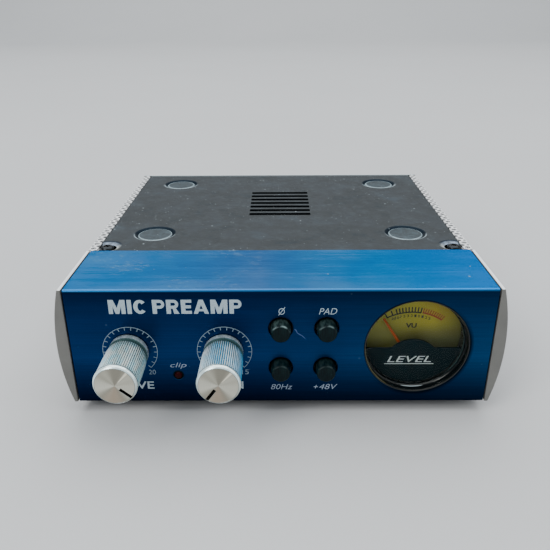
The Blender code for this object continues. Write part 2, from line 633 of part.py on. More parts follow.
def build_connectors(frame):
    """The microphone input with its latch, and the line output with its three pins."""
    shell = xlr_shell("mic_in_shell", MIC_X, frame)
    cut(shell, "cut_latch_slot", lambda bm: add_box(bm, (-3.9, 3.9), (126.7, 136), (10.4, 14.2)))
    profile = [(0, 115.8), (9.1, 115.8), (9.1, 118), (7.6, 118), (7.6, 134.0), (7.2, 134.4), (0, 134.4)]
    where = (MIC_X, 0, REAR_Z)
    insert = make("mic_in_insert", lambda bm: add_lathe(bm, profile, "Y", 22), "black", frame, where)
    cut(insert, "cut_contact_holes", lambda bm: pins_at(bm, 1.5, 122, 136, (270, 30, 150)))
    latch = axis_empty("latch_axis", frame, (MIC_X, 0, REAR_Z))

    def tab(bm):
        add_box(bm, (-3.5, 3.5), (128.5, JACK_END - 0.1), (10.8, 13.8))

    make("mic_in_latch", tab, "steel", latch)
    xlr_shell("line_out_shell", LINE_X, frame)
    base = [(0, 115.8), (9.1, 115.8), (9.1, 119), (0, 119)]
    where = (LINE_X, 0, REAR_Z)
    insert = make("line_out_insert", lambda bm: add_lathe(bm, base, "Y", 28), "black", frame, where)
    join(insert, "add_output_pins", lambda bm: pins_at(bm, 1.2, 118.5, 130))


def build_jack(name, x, frame):
    """A quarter-inch jack: its case inside, its bushing through the panel, and its nut."""
    where = (x, 0, REAR_Z)
    jack = make(name, lambda bm: add_box(bm, (-6, 6), (108, COVER_END), (-6.5, 6.5)), "black", frame, where)
    join(jack, f"add_{name}_bushing", lambda bm: add_rod(bm, 4.7, 130, JACK_END, segments=24))
    cut(jack, f"cut_{name}_bore", lambda bm: add_rod(bm, 3.3, 110.5, 138, segments=24))
    flat, hole = 6.0, 5.05
    front, back = BODY_DEPTH + GAP, BODY_DEPTH + 2.4
    nut = [(hole, front), (flat, front), (flat, back), (hole, back)]
    shape = hexagon(flat)
    make(f"{name}_nut", lambda bm: add_lathe(bm, nut, "Y", 24, outline=shape), "steel", frame, where)


def build_power(frame):
    """The supply's inlet with its centre pin, and the rocker switch beside it."""
    def body(bm):
        add_box(bm, (-4.5, 4.5), (118, BODY_DEPTH + 1.6), (-5.5, 5.5))

    inlet = make("power_inlet", body, "black", frame, (INLET_X, 0, REAR_Z))
    ring = [(1.0, 124.5), (3.0, 124.5), (3.0, 136), (1.0, 136)]
    cut(inlet, "cut_inlet_ring", lambda bm: add_lathe(bm, ring, "Y", 20))
    cut(inlet, "cut_inlet_pin", lambda bm: add_rod(bm, 1.6, 132.8, 137, segments=20))

    where = (SWITCH_X, 0, REAR_Z)
    flange = (BODY_DEPTH + GAP, BODY_DEPTH + 1.7)
    switch = make("power_switch", lambda bm: add_prism(bm, rounded(7.4, 10.4, 1), "Y", *flange),
                  "black", frame, where)
    join(switch, "add_switch_case", lambda bm: add_box(bm, (-6.2, 6.2), (116, 133.5), (-9.2, 9.2)))
    cut(switch, "cut_rocker_well", lambda bm: add_box(bm, (-5.2, 5.2), (122, 136), (-8.4, 8.4)))
    pivot = axis_empty("rocker_axis", frame, (SWITCH_X, ROCKER_PIVOT_Y, REAR_Z), ROCKER_TILT, "X")
    upper = [(-5.5, 2), (1, 7.6), (5.6, 7.4), (4.5, 3.7), (4.2, 0)]
    outline = upper + [(y, -z) for y, z in upper[-2::-1]]
    make("power_rocker", lambda bm: add_prism(bm, outline, "X", -4.9, 4.9), "black", pivot)


def build_rear_screws(frame):
    seat = BODY_DEPTH + GAP
    profile = [(0, 126.5), (SHANK_RADIUS, 126.5), (SHANK_RADIUS, seat), (HEAD_RADIUS, seat)]
    profile += [(HEAD_RADIUS, seat + 0.6), (1.7, seat + 1.2), (0, seat + 1.2)]
    for side, name in ((-1, "left_rear_screw"), (1, "right_rear_screw")):
        where = (side * REAR_SCREW_X, 0, REAR_Z)
        make(name, lambda bm: add_lathe(bm, profile, "Y", 12), "steel", frame, where)


# ---------------------------------------------------------------- the whole preamp
def main():
    for obj in list(bpy.data.objects):
        bpy.data.objects.remove(obj)
    frame = axis_empty("case_frame", None, (0, -CENTRE_Y, FOOT_HEIGHT))

    build_bezel(frame)
    build_cheeks(frame)
    build_side_panels(frame)
    build_cover(frame)
    build_tray(frame)
    build_feet(frame)
    build_cover_screws(frame)

    for name, x, angle in (("drive", DRIVE_X, DRIVE_ANGLE), ("gain", GAIN_X, GAIN_ANGLE)):
        build_knob(name, x, angle, frame)
        build_pot(name, x, frame)
    labels = ("phase", "pad", "lowcut", "phantom")
    places = [(x, z) for z in BUTTON_ROWS for x in BUTTON_COLUMNS]
    for name, (x, z) in zip(labels, places):
        build_button(name, x, z, frame)
    build_led(frame)
    build_front_board(frame)
    build_meter(frame)

    build_main_board(frame)
    build_ribbon(frame)
    build_tube(frame)
    build_supply(frame)

    build_rear_panel(frame)
    build_connectors(frame)
    build_jack("instrument_jack", INSTRUMENT_X, frame)
    build_jack("output_jack", OUTPUT_X, frame)
    build_power(frame)
    build_rear_screws(frame)


main()
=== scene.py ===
"""The finished look of a desktop tube microphone preamp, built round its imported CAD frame.

Shapes are drawn in millimetres in the case's own frame: x to the right, y back from the front
panel's face, z up from the underside of the case. MM turns them into metres, and CASE is the
place of that frame in the row frame. Finishes read their places on an object in millimetres too.
"""

import json
import math

import bmesh
import bpy
from mathutils import Matrix, Vector


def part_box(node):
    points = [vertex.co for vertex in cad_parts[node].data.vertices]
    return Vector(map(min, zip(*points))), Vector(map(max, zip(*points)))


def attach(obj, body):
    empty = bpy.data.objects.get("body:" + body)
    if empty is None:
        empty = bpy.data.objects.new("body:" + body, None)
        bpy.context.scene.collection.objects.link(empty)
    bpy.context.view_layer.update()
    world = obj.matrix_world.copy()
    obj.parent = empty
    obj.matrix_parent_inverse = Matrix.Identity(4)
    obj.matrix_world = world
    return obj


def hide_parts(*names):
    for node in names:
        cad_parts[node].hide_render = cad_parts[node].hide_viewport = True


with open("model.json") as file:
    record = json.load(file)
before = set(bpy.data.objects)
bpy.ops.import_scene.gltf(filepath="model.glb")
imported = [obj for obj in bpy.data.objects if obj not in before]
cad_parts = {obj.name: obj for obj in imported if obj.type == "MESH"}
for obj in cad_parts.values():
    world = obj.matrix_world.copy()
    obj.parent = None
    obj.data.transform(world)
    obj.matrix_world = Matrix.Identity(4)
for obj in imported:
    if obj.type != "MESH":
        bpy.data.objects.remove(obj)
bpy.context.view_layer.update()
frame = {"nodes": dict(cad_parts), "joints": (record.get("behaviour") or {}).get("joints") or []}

MM = 0.001
BEZEL_LOW, BEZEL_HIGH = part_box("front_bezel")
CASE = Vector((0, BEZEL_LOW.y, BEZEL_LOW.z))
JOINTS = {joint["name"]: joint for joint in frame["joints"]}


# ------------------------------------------------------------------ places taken from the frame
def case_box(node):
    """A node's lowest and highest corners in the case's frame, in millimetres."""
    low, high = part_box(node)
    return (low - CASE) / MM, (high - CASE) / MM


def case_middle(node):
    low, high = case_box(node)
    return (low + high) / 2


def joint_place(name):
    return (Vector(JOINTS[name]["pos_m"]) - CASE) / MM


def on_front(place):
    """Where a line along Y through a place meets the front panel's face."""
    return place.x, 0, place.z


FACE_HALF, BEZEL_DEPTH, HEIGHT = case_box("front_bezel")[1]
BODY_DEPTH = case_box("rear_panel")[1].y
COVER_HALF, COVER_END, COVER_TOP = case_box("top_cover")[1]
COVER_START = BEZEL_DEPTH + 0.3
SIDE_BULGE, CHEEK_INNER = case_box("right_cheek")[1].x, case_box("right_cheek")[0].x
SIDE_EDGE, FLANGE_LAP = 67.2, 1.6
SCREW = case_middle("right_cover_screw")
RECESS_FRONT, RECESS_REAR = case_middle("front_right_foot"), case_middle("rear_right_foot")
DRIVE, GAIN = joint_place("drive_turn"), joint_place("gain_turn")
KNOB_FRONT = case_box("drive_knob")[0].y
KNOB_BAND, KNOB_LINE, KNOB_FACE = 1.6, 1.22, 5.76
PHASE, PHANTOM = case_middle("phase_button"), case_middle("phantom_button")
BUTTON_FRONT = case_box("phase_button")[0].y
METER = case_middle("meter_lens")
NEEDLE = joint_place("needle_swing")
LAMP = case_middle("clip_led")
REAR_Z = case_middle("line_out_insert").z
SIDES = ((-1, "left"), (1, "right"))


# ------------------------------------------------------------------ mesh building
def ring_point(axis, radius, along, angle):
    a, b = radius * math.cos(angle), radius * math.sin(angle)
    return {"X": (along, a, b), "Y": (b, along, a), "Z": (a, b, along)}[axis]


def lathe(bm, profile, axis="Y", segments=48, centre=(0, 0, 0), shape=None):
    """Turns (radius, along) points round an axis. shape(radius, along, angle) may change a radius."""
    rings = []
    for radius, along in profile:
        count = segments if radius else 1
        ring = []
        for step in range(count):
            angle = 2 * math.pi * step / segments
            reach = shape(radius, along, angle) if shape and radius else radius
            ring.append(bm.verts.new(Vector(ring_point(axis, reach, along, angle)) + Vector(centre)))
        rings.append(ring)
    pairs = list(zip(rings, rings[1:]))
    if len(rings[0]) > 1 and len(rings[-1]) > 1:
        pairs.append((rings[-1], rings[0]))
    for first, second in pairs:
        for step in range(segments):
            after = (step + 1) % segments
            if len(first) == 1:
                bm.faces.new((first[0], second[step], second[after]))
            elif len(second) == 1:
                bm.faces.new((first[step], second[0], first[after]))
            else:
                bm.faces.new((first[step], second[step], second[after], first[after]))


def prism(bm, outline, axis, start, end):
    """Extrudes a flat outline along an axis."""
    def point(pair, along):
        return {"X": (along, *pair), "Y": (pair[0], along, pair[1]), "Z": (*pair, along)}[axis]

    low = [bm.verts.new(point(pair, start)) for pair in outline]
    high = [bm.verts.new(point(pair, end)) for pair in outline]
    bm.faces.new(low)
    bm.faces.new(high[::-1])
    for step in range(len(outline)):
        after = (step + 1) % len(outline)
        bm.faces.new((low[step], high[step], high[after], low[after]))


def box(bm, xs, ys, zs):
    prism(bm, [(xs[0], ys[0]), (xs[1], ys[0]), (xs[1], ys[1]), (xs[0], ys[1])], "Z", *zs)


def soften(bm, width, segments=3, angle=40):
    """Rounds every edge sharper than an angle."""
    bmesh.ops.recalc_face_normals(bm, faces=bm.faces)
    limit = math.radians(angle)
    edges = [e for e in bm.edges if len(e.link_faces) == 2 and e.calc_face_angle(0) > limit]
    bmesh.ops.bevel(bm, geom=edges, offset=width, offset_type="OFFSET", segments=segments, profile=0.5,
                    affect="EDGES", clamp_overlap=True)


def corner(centre, radius, start, end, steps=6):
    """Points round a corner, from one angle to another in degrees."""
    turns = [math.radians(start + (end - start) * step / steps) for step in range(steps + 1)]
    return [(centre[0] + radius * math.cos(a), centre[1] + radius * math.sin(a)) for a in turns]


def rounded(half_x, half_z, radius, steps=6, at=(0, 0)):
    points = []
    for turn, (sx, sz) in enumerate(((1, 1), (-1, 1), (-1, -1), (1, -1))):
        middle = (at[0] + sx * (half_x - radius), at[1] + sz * (half_z - radius))
        points += corner(middle, radius, 90 * turn, 90 * turn + 90, steps)
    return points


def bowed_side(top, bottom, edge, bulge, steps=40):
    """The bowed outline of the right side, from its top edge down."""
    sag, half = bulge - edge, (top - bottom) / 2
    radius = (half ** 2 + sag ** 2) / (2 * sag)
    reach = math.degrees(math.asin(half / radius))
    return corner((bulge - radius, (top + bottom) / 2), radius, reach, -reach, steps)


# ------------------------------------------------------------------ objects
def linked(name, data, place=CASE):
    obj = bpy.data.objects.new(name, data)
    bpy.context.scene.collection.objects.link(obj)
    obj.location = place
    return obj


def mesh_of(bm, name):
    mesh = bpy.data.meshes.new(name)
    bm.to_mesh(mesh)
    bm.free()
    return mesh


def blank(name, build, at=(0, 0, 0), turn=0.0):
    """An object in the case's frame, turned about its own Y axis."""
    bm = bmesh.new()
    build(bm)
    bmesh.ops.recalc_face_normals(bm, faces=bm.faces)
    bmesh.ops.scale(bm, vec=(MM, MM, MM), verts=bm.verts)
    obj = linked(name, mesh_of(bm, name), CASE + Vector(at) * MM)
    obj.rotation_euler = (0, math.radians(turn), 0)
    return obj


def evaluated(obj):
    """A new mesh of an object as its modifiers or its text make it."""
    bpy.context.view_layer.update()
    return bpy.data.meshes.new_from_object(obj.evaluated_get(bpy.context.evaluated_depsgraph_get()))


def bake(obj):
    """Turns an object's modifiers into its mesh."""
    made = evaluated(obj)
    old, obj.data = obj.data, made
    obj.modifiers.clear()
    bpy.data.meshes.remove(old)


def carve(obj, build, how="DIFFERENCE"):
    """Cuts or joins a shape drawn in the object's own coordinates."""
    cutter = blank("cutter", build)
    cutter.matrix_world = obj.matrix_world
    cutter.location, cutter.rotation_euler = obj.location, obj.rotation_euler
    boolean = obj.modifiers.new("cut", "BOOLEAN")
    boolean.operation, boolean.solver, boolean.object = how, "EXACT", cutter
    bake(obj)
    bpy.data.objects.remove(cutter)


def dress(obj, name, finish, body="chassis", stands_for=(), sharp=35, weighted=True):
    """Shades a shape, gives it its finish or finishes, and ties it to the frame."""
    obj.name = obj.data.name = name
    obj.data.shade_smooth()
    obj.data.set_sharp_from_angle(angle=math.radians(sharp))
    if weighted:
        obj.modifiers.new("even_normals", "WEIGHTED_NORMAL").keep_sharp = True
    finishes = finish if isinstance(finish, list) else [finish]
    obj.data.materials.clear()
    for made in finishes:
        obj.data.materials.append(made)
    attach(obj, body)
    if stands_for:
        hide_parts(*stands_for)
    return obj


def piece(name, build, finish, body="chassis", stands_for=(), at=(0, 0, 0), turn=0.0, cuts=(), joins=(),
          sharp=35, weighted=True):
    obj = blank(name, build, at, turn)
    for shape in joins:
        carve(obj, shape, "UNION")
    for shape in cuts:
        carve(obj, shape)
    return dress(obj, name, finish, body, stands_for, sharp, weighted)


def turned(name, profile, finish, segments=48, axis="Y", **rest):
    """A piece turned from (radius, along) points."""
    return piece(name, lambda bm: lathe(bm, profile, axis, segments), finish, **rest)


# ------------------------------------------------------------------ finishes
class Finish:
    """A small helper that builds one procedural material."""

    def __init__(self, name, metallic=0.0, roughness=0.4, **inputs):
        self.material = bpy.data.materials.new(name)
        self.material.use_nodes = True
        self.tree = self.material.node_tree
        self.shader = self.tree.nodes["Principled BSDF"]
        self.set("Metallic", metallic)
        self.set("Roughness", roughness)
        for key, value in inputs.items():
            self.set(key.replace("_", " "), value)
        self.coordinates = self.tree.nodes.new("ShaderNodeTexCoord")
        self.colour = None

    def set(self, key, value):
        self.plug(self.shader.inputs[key], value)

    def plug(self, socket, value):
        if isinstance(value, bpy.types.NodeSocket):
            self.tree.links.new(value, socket)
        elif socket.type == "RGBA" and len(value) == 3:
            socket.default_value = (*value, 1)
        else:
            socket.default_value = value

    def node(self, kind, output=0, inputs=None, **settings):
        made = self.tree.nodes.new("ShaderNode" + kind)
        for key, value in settings.items():
            setattr(made, key, value)
        for key, value in (inputs or {}).items():
            self.plug(made.inputs[key], value)
        return made.outputs[output]

    def place(self, stretch=(1, 1, 1)):
        """The place on the object, with each axis stretched."""
        return self.node("Mapping", inputs={"Vector": self.coordinates.outputs["Object"], "Scale": stretch})

    def noise(self, size, stretch=(1, 1, 1), detail=3, roughness=0.5, distortion=0.0):
        """Noise whose features are about size millimetres across, from 0 to 1."""
        return self.node("TexNoise", inputs={"Vector": self.place(stretch), "Scale": 1000 / size,
                                             "Detail": detail, "Roughness": roughness,
                                             "Distortion": distortion})

    def ramp(self, value, *stops):
        """A colour for each value: stops are (position, colour or grey)."""
        made = self.tree.nodes.new("ShaderNodeValToRGB")
        self.plug(made.inputs["Fac"], value)
        band = made.color_ramp
        while len(band.elements) < len(stops):
            band.elements.new(0.5)
        for element, (position, colour) in zip(band.elements, stops):
            element.position = position
            element.color = (*((colour,) * 3 if isinstance(colour, (int, float)) else colour), 1)
        return made.outputs["Color"]

    def range(self, value, low, high, out_low=0.0, out_high=1.0):
        return self.node("MapRange", inputs={"Value": value, "From Min": low, "From Max": high,
                                             "To Min": out_low, "To Max": out_high}, clamp=True)

    def math(self, what, first, *others):
        """One operation, carried on over every other value."""
        for other in others or (0.0,):
            made = self.tree.nodes.new("ShaderNodeMath")
            made.operation = what
            self.plug(made.inputs[0], first)
            self.plug(made.inputs[1], other)
            first = made.outputs[0]
        return first

    def times(self, first, *others):
        return self.math("MULTIPLY", first, *others) if others else first

    def plus(self, *values):
        return self.math("ADD", *values)

    def minus(self, first, second):
        return self.math("SUBTRACT", first, second)

    def most(self, first, second):
        return self.math("MAXIMUM", first, second)

    def size(self, value):
        return self.math("ABSOLUTE", value)

    def near(self, value, middle, inner, outer):
        """1 where a value lies within inner of the middle, falling to 0 at outer."""
        return self.range(self.size(self.minus(value, middle)), outer, inner)

    def mix(self, amount, a, b, how="MIX"):
        made = self.tree.nodes.new("ShaderNodeMix")
        made.data_type, made.blend_type = "RGBA", how
        for index, value in ((0, amount), (6, a), (7, b)):
            self.plug(made.inputs[index], value)
        return made.outputs[2]

    def coat(self, over, *amounts):
        """Lays a colour over what is there, as strongly as the amounts multiply up to."""
        self.colour = self.mix(self.times(*amounts), self.colour, over)

    def tinted(self, colour, tint):
        return self.mix(1.0, colour, tint, "MULTIPLY")

    def parts(self, vector):
        made = self.tree.nodes.new("ShaderNodeSeparateXYZ")
        self.plug(made.inputs[0], vector)
        return made.outputs[:3]

    def axes(self):
        """The place on the object, as x, y and z in millimetres."""
        return [self.times(axis, 1 / MM) for axis in self.parts(self.coordinates.outputs["Object"])]

    def tilt(self):
        """How far the object's surface faces up, from -1 to 1."""
        return self.parts(self.coordinates.outputs["Normal"])[2]

    def facing(self):
        """The x, y and z of the surface's direction in the row frame."""
        return self.parts(self.node("NewGeometry", "Normal"))

    def radius(self, first, second):
        """The distance from an axis, from the distances along two others."""
        return self.math("SQRT", self.plus(self.times(first, first), self.times(second, second)))

    def bump(self, height, depth):
        """depth is in millimetres."""
        self.set("Normal", self.node("Bump", inputs={"Height": height, "Distance": depth * MM,
                                                     "Strength": 1.0}))

    def specks(self, size, share):
        """Scattered dots about size millimetres across; a smaller share gives fewer."""
        cells = {"Vector": self.place(), "Scale": 1000 / (size * 6)}
        spread = self.node("TexVoronoi", inputs=cells, feature="F1")
        cell = self.node("TexVoronoi", "Position", cells, feature="F1")
        keep = self.node("TexWhiteNoise", inputs={"Vector": cell}, noise_dimensions="3D")
        return self.times(self.range(spread, 0.16, 0.05), self.math("LESS_THAN", keep, share))

    def done(self, bump, rough=None):
        """Plugs in the colour, a bump as (height, millimetres) and a roughness as (noise, low, high)."""
        self.set("Base Color", self.colour)
        self.bump(*bump)
        if rough:
            uneven, low, high = rough
            self.set("Roughness", self.range(uneven, 0.3, 0.7, low, high))
        return self.material


def blue_metal():
    """Blue anodised plate, brushed along X, with dust on top. Its colour holds painted light: the front is
    navy, painted darker towards its bottom and top edges and lighter to the right; the top is painted paler
    as a reflection of a bright sky; the fold is painted a mid blue; a painted shadow lies right of and below
    the meter.
    """
    f = Finish("blue_anodised", metallic=0.92, IOR=1.2, Specular_Tint=(0.02, 0.22, 0.45))
    x, y, z = f.axes()
    tip = f.tilt()
    up = f.times(f.range(tip, 0.25, 0.85), f.range(z, HEIGHT - 3, HEIGHT - 2))
    ahead, side = f.range(up, 0, 1, 1, 0), f.range(x, -66, 66)
    # Painted shade and reflection on the front: darker towards the bottom and top edges, lighter to the right.
    front = f.ramp(f.range(z, 0, HEIGHT), (0.0, (0.0002, 0.004, 0.016)), (0.14, (0.0003, 0.01, 0.042)),
                   (0.42, (0.0004, 0.028, 0.11)), (0.8, (0.0004, 0.018, 0.074)), (1.0, (0.0003, 0.008, 0.034)))
    front = f.mix(f.range(x, -10, 66), front, (3.0, 1.55, 1.15), "MULTIPLY")
    cloud = f.range(f.noise(26, (1, 1, 2.2), 2), 0.3, 0.75, 0.0, 0.4)
    front = f.mix(cloud, front, f.tinted(front, (0.6, 0.62, 0.7)))
    # Painted reflection on the top: a pale sky blue, bluer to the right, with paler hazy patches.
    sky = f.ramp(side, (0.0, (0.03, 0.228, 0.56)), (0.45, (0.08, 0.188, 0.418)),
                 (0.75, (0.012, 0.23, 0.56)), (1.0, (0.004, 0.25, 0.7)))
    haze = f.range(f.noise(34, (1, 1.2, 1), 4, 0.55), 0.38, 0.72)
    haze = f.times(haze, f.range(side, 1.0, 0.65, 0.25, 1))
    top = f.mix(f.times(haze, 0.55), sky, (0.12, 0.27, 0.44))
    # Pale scuffs, mostly towards the left.
    mark_strength = f.range(f.noise(2.2, (1, 1.6, 1), 7, 0.78), 0.53, 0.66)
    patch = f.times(f.range(f.noise(22), 0.47, 0.62), f.range(side, 0.6, 0.25, 0.15, 1.0))
    top = f.mix(f.times(mark_strength, patch, 0.7), top, (0.3, 0.48, 0.62))
    f.colour = f.mix(up, front, top)
    # Painted shade on the fold between front and top, toning down its highlight.
    fold = f.times(f.range(tip, 0.1, 0.35), f.range(tip, 0.985, 0.9))
    f.coat((0.012, 0.11, 0.3), fold, 0.75)
    from_meter_x, from_meter_z = f.minus(x, METER.x), f.minus(z, METER.z)
    low_right = f.range(f.minus(from_meter_x, from_meter_z), -4, 14)
    shadow = f.range(f.radius(from_meter_x, from_meter_z), 17.8, 16.7)
    f.coat((0.0004, 0.003, 0.007), shadow, low_right, ahead, 0.92)
    aside, below = f.minus(x, PHASE.x + 4.0), f.minus(PHASE.z - 0.2, z)
    wander = f.range(f.noise(3.0, detail=2), 0.3, 0.7, -0.3, 0.3)
    across = f.plus(f.minus(f.times(aside, 0.68), f.times(below, 0.73)), wander)
    along = f.plus(f.times(aside, 0.73), f.times(below, 0.68))
    scratch = f.times(f.near(across, 0, 0.06, 0.22), f.range(along, 0.0, 0.4), f.range(along, 5.4, 4.2))
    f.coat((0.2, 0.28, 0.55), scratch, 0.38, ahead)
    dots = f.times(f.most(f.specks(0.4, 0.04), f.specks(0.6, 0.015)), f.range(up, 0, 1, 0.05, 1))
    f.coat((0.55, 0.68, 0.76), dots, 0.8)
    grain = f.noise(0.5, (0.012, 1, 1), 3, 0.6)
    brushed = f.tinted(f.colour, f.ramp(grain, (0.3, 0.5), (0.7, 1.8)))
    f.set("Roughness", f.plus(f.range(grain, 0.3, 0.7, 0.28, 0.38), f.times(haze, 0.1)))
    f.coat(brushed, f.range(up, 0, 1, 0.25, 0.04))
    return f.done((grain, 0.005))


def silver_metal(name, tint, rough, metallic, top=None):
    """Satin silver with faint blotches, dirt and handling marks, and upward faces painted paler as a highlight
    where a highlight colour is given.
    """
    f = Finish(name, metallic=metallic)
    f.colour = f.mix(f.range(f.noise(9, detail=4), 0.3, 0.75), tint, [c * 0.82 for c in tint])
    dirt = f.range(f.noise(1.6, detail=5, roughness=0.7), 0.62, 0.8)
    f.coat([c * 0.35 for c in tint], dirt, 0.4)
    if top:
        # Painted highlight on upward faces.
        f.coat(top, f.range(f.tilt(), 0.5, 0.85))
    return f.done((f.noise(0.25, detail=2), 0.008),
                  (f.noise(2.5, (1, 0.2, 1)), rough - 0.06, rough + 0.12))


def from_recess(f, x, y):
    """The distance from the nearest recess's axis, and how far in front of that axis a place is."""
    middle, half = (RECESS_FRONT.y + RECESS_REAR.y) / 2, (RECESS_REAR.y - RECESS_FRONT.y) / 2
    away = f.minus(f.size(f.minus(y, middle)), half)
    ahead = f.times(away, f.math("SIGN", f.minus(middle, y)))
    return f.radius(f.minus(f.size(x), RECESS_FRONT.x), away), ahead


def cover_metal():
    """Grey steel sheet: mottled, with dust and light scratches. Painted light: a painted sheen round the two
    screws with painted shade at the back of their dimples, painted highlights round the rims of its recesses
    with painted shade on their back walls, a painted highlight on its back edge and painted shade in its vent
    slots."""
    f = Finish("grey_steel_sheet", metallic=0.35, IOR=1.16, Specular_Tint=(0.22, 0.27, 0.32))
    x, y, z = f.axes()
    f.colour = f.ramp(f.noise(15, detail=7, roughness=0.68, distortion=0.4), (0.28, (0.041, 0.05, 0.057)),
                      (0.46, (0.055, 0.06, 0.062)), (0.6, (0.06, 0.067, 0.072)), (0.8, (0.072, 0.094, 0.112)))
    film = f.range(f.noise(3.2, detail=6, roughness=0.75), 0.5, 0.72)
    f.coat((0.12, 0.14, 0.15), film, 0.3)
    scratch = f.range(f.noise(2.2, (0.1, 1, 1), 4, 0.7, 1.5), 0.69, 0.73)
    f.coat((0.22, 0.26, 0.28), scratch, 0.35)
    reach, ahead = from_recess(f, x, y)
    # Dust on the floors of the recesses.
    mottled_pale = f.range(f.noise(1.5, detail=5, roughness=0.7), 0.4, 0.68, 0.1, 0.6)
    f.coat((0.105, 0.145, 0.165), f.range(reach, 6.3, 5.9), mottled_pale)
    # Painted shade on the back walls of the recesses.
    recess_wall_shade = f.times(f.near(reach, 6.95, 0.5, 0.9), f.range(ahead, 3.5, -1.0))
    f.coat((0.006, 0.014, 0.024), recess_wall_shade, 0.9)
    patchy = f.range(f.noise(2.4, detail=4), 0.25, 0.5, 0.45, 1.0)
    rim_width = f.range(y, RECESS_FRONT.y, RECESS_REAR.y, 0.3, 0.62)
    # Painted highlight: a pale line round each recess's floor, wider on the rear recesses.
    f.coat((0.33, 0.42, 0.46), f.near(reach, 6.08, 0.08, rim_width), patchy)
    # Painted highlight along the front of each recess's top rim.
    front_rim_highlight = f.times(f.near(reach, 7.62, 0.08, f.times(rim_width, 1.2)), f.range(ahead, 0, 4))
    f.coat((0.42, 0.5, 0.54), front_rim_highlight, patchy, 0.95)
    dots = f.most(f.specks(0.26, 0.16), f.specks(0.5, 0.07))
    f.coat((0.46, 0.52, 0.55), dots, 0.7)
    f.coat((0.85, 0.87, 0.88), f.specks(0.7, 0.008))
    along = f.minus(y, SCREW.y)
    round_screw = f.radius(f.minus(f.size(x), SCREW.x), along)
    sheen_patches = f.range(f.noise(1.3, detail=5), 0.3, 0.58, 0.25, 1.0)
    # Painted reflection in the screws' dimples, pale yellow at the front and bluish at the back, with painted
    # shade at the back of each dimple.
    sheen = f.mix(f.range(along, -1.5, 3.0), (0.74, 0.76, 0.68), (0.3, 0.38, 0.5))
    f.coat(sheen, f.range(round_screw, 5.2, 3.6), sheen_patches)
    shade = f.times(f.near(round_screw, 4.9, 0.25, 0.6), f.range(along, 0.5, 3.0))
    f.coat((0.01, 0.018, 0.03), shade, 0.85)
    # Painted highlight along the back edge.
    back_edge_highlight = f.range(y, COVER_END - 0.35, COVER_END - 0.05)
    f.coat((0.62, 0.72, 0.76), back_edge_highlight, 0.85)
    # Painted shade on the walls of the vent slots.
    slot_wall_shade = f.times(f.range(f.tilt(), 0.3, 0.05), f.range(f.size(x), 13.5, 13.0))
    f.coat((0.004, 0.006, 0.008), slot_wall_shade)
    return f.done((f.noise(0.35, detail=3), 0.01), (f.noise(3, detail=4), 0.36, 0.52))


def rear_paint():
    """Dark powder coat on the rear panel, with its upper edge painted pale as a highlight."""
    f = Finish("rear_paint", Specular_IOR_Level=0.3)
    shade = f.range(f.noise(7, detail=4), 0.3, 0.7)
    f.colour = f.mix(shade, (0.016, 0.019, 0.022), (0.024, 0.027, 0.03))
    # Painted highlight on the upper edge.
    f.coat((0.55, 0.6, 0.62), f.range(f.tilt(), 0.5, 0.8))
    return f.done((f.noise(0.3, detail=3), 0.02), (f.noise(1.5, detail=3), 0.36, 0.52))


def knob_side_metal(name, shade_and_reflection_tint):
    """Knurled aluminium, darker in its grooves. Painted light: painted shade on the side away from the lamps,
    tinted as a painted blue reflection on the gain knob, a band painted bright where it faces up and dark
    where it faces down, and painted shade in the narrow waist before the collar.
    """
    f = Finish(name, metallic=0.5)
    x, y, z = f.axes()
    reach = f.radius(x, z)
    to_right, to_back, to_top = f.facing()
    uneven = f.range(f.noise(0.9, (1, 0.06, 1), 3), 0.35, 0.65)
    groove = f.range(reach, 6.15, f.plus(6.2, f.times(uneven, 0.1)))
    blotch = f.range(f.noise(1.4, (1, 0.3, 1), 4), 0.38, 0.62)
    f.colour = f.mix(groove, (0.03, 0.06, 0.064), f.mix(blotch, (0.62, 0.9, 1.0), (1.0, 1.0, 0.97)))
    # Painted shade on faces turned to the right, tinted blue on the gain knob as a painted reflection.
    f.coat(f.tinted(f.colour, shade_and_reflection_tint), f.range(to_right, -0.3, 0.7))
    ring = f.range(y, KNOB_FRONT + KNOB_BAND, KNOB_FRONT + KNOB_BAND - 0.2)
    # Painted light on the polished band: bright where it faces up, dark where it faces down.
    polished = f.mix(f.range(to_top, -0.45, 0.35), (0.4, 0.4, 0.34), (0.84, 1.0, 1.0))
    dull = f.range(f.noise(2.2, detail=3), 0.42, 0.62, 0.0, 0.35)
    f.coat(f.mix(dull, polished, (0.52, 0.66, 0.7)), ring)
    line = f.near(y, KNOB_FRONT + KNOB_LINE, 0.24, 0.36)
    f.coat((0.06, 0.1, 0.12), line, 0.9)
    seam = f.times(f.near(reach, 5.81, 0.05, 0.1), f.range(y, KNOB_FRONT + 0.5, KNOB_FRONT + 0.4))
    f.coat((0.16, 0.19, 0.19), seam, 0.8)
    collar = f.mix(f.range(f.noise(1.2, detail=4), 0.4, 0.6), (0.3, 0.38, 0.4), (0.52, 0.6, 0.62))
    f.coat(collar, f.range(y, -2.4, -2.2))
    # Painted shade in the narrow waist before the collar.
    neck_shade = f.times(f.range(y, -6.8, -3.4), f.range(y, -2.2, -2.4))
    f.coat((0.035, 0.09, 0.09), neck_shade, 0.75)
    fine = f.range(f.noise(0.6, (1, 0.1, 1), 3), 0.3, 0.7, 0.22, 0.38)
    f.set("Roughness", f.mix(ring, fine, (0.26, 0.26, 0.26)))
    return f.done((f.noise(0.2, detail=2), 0.01))


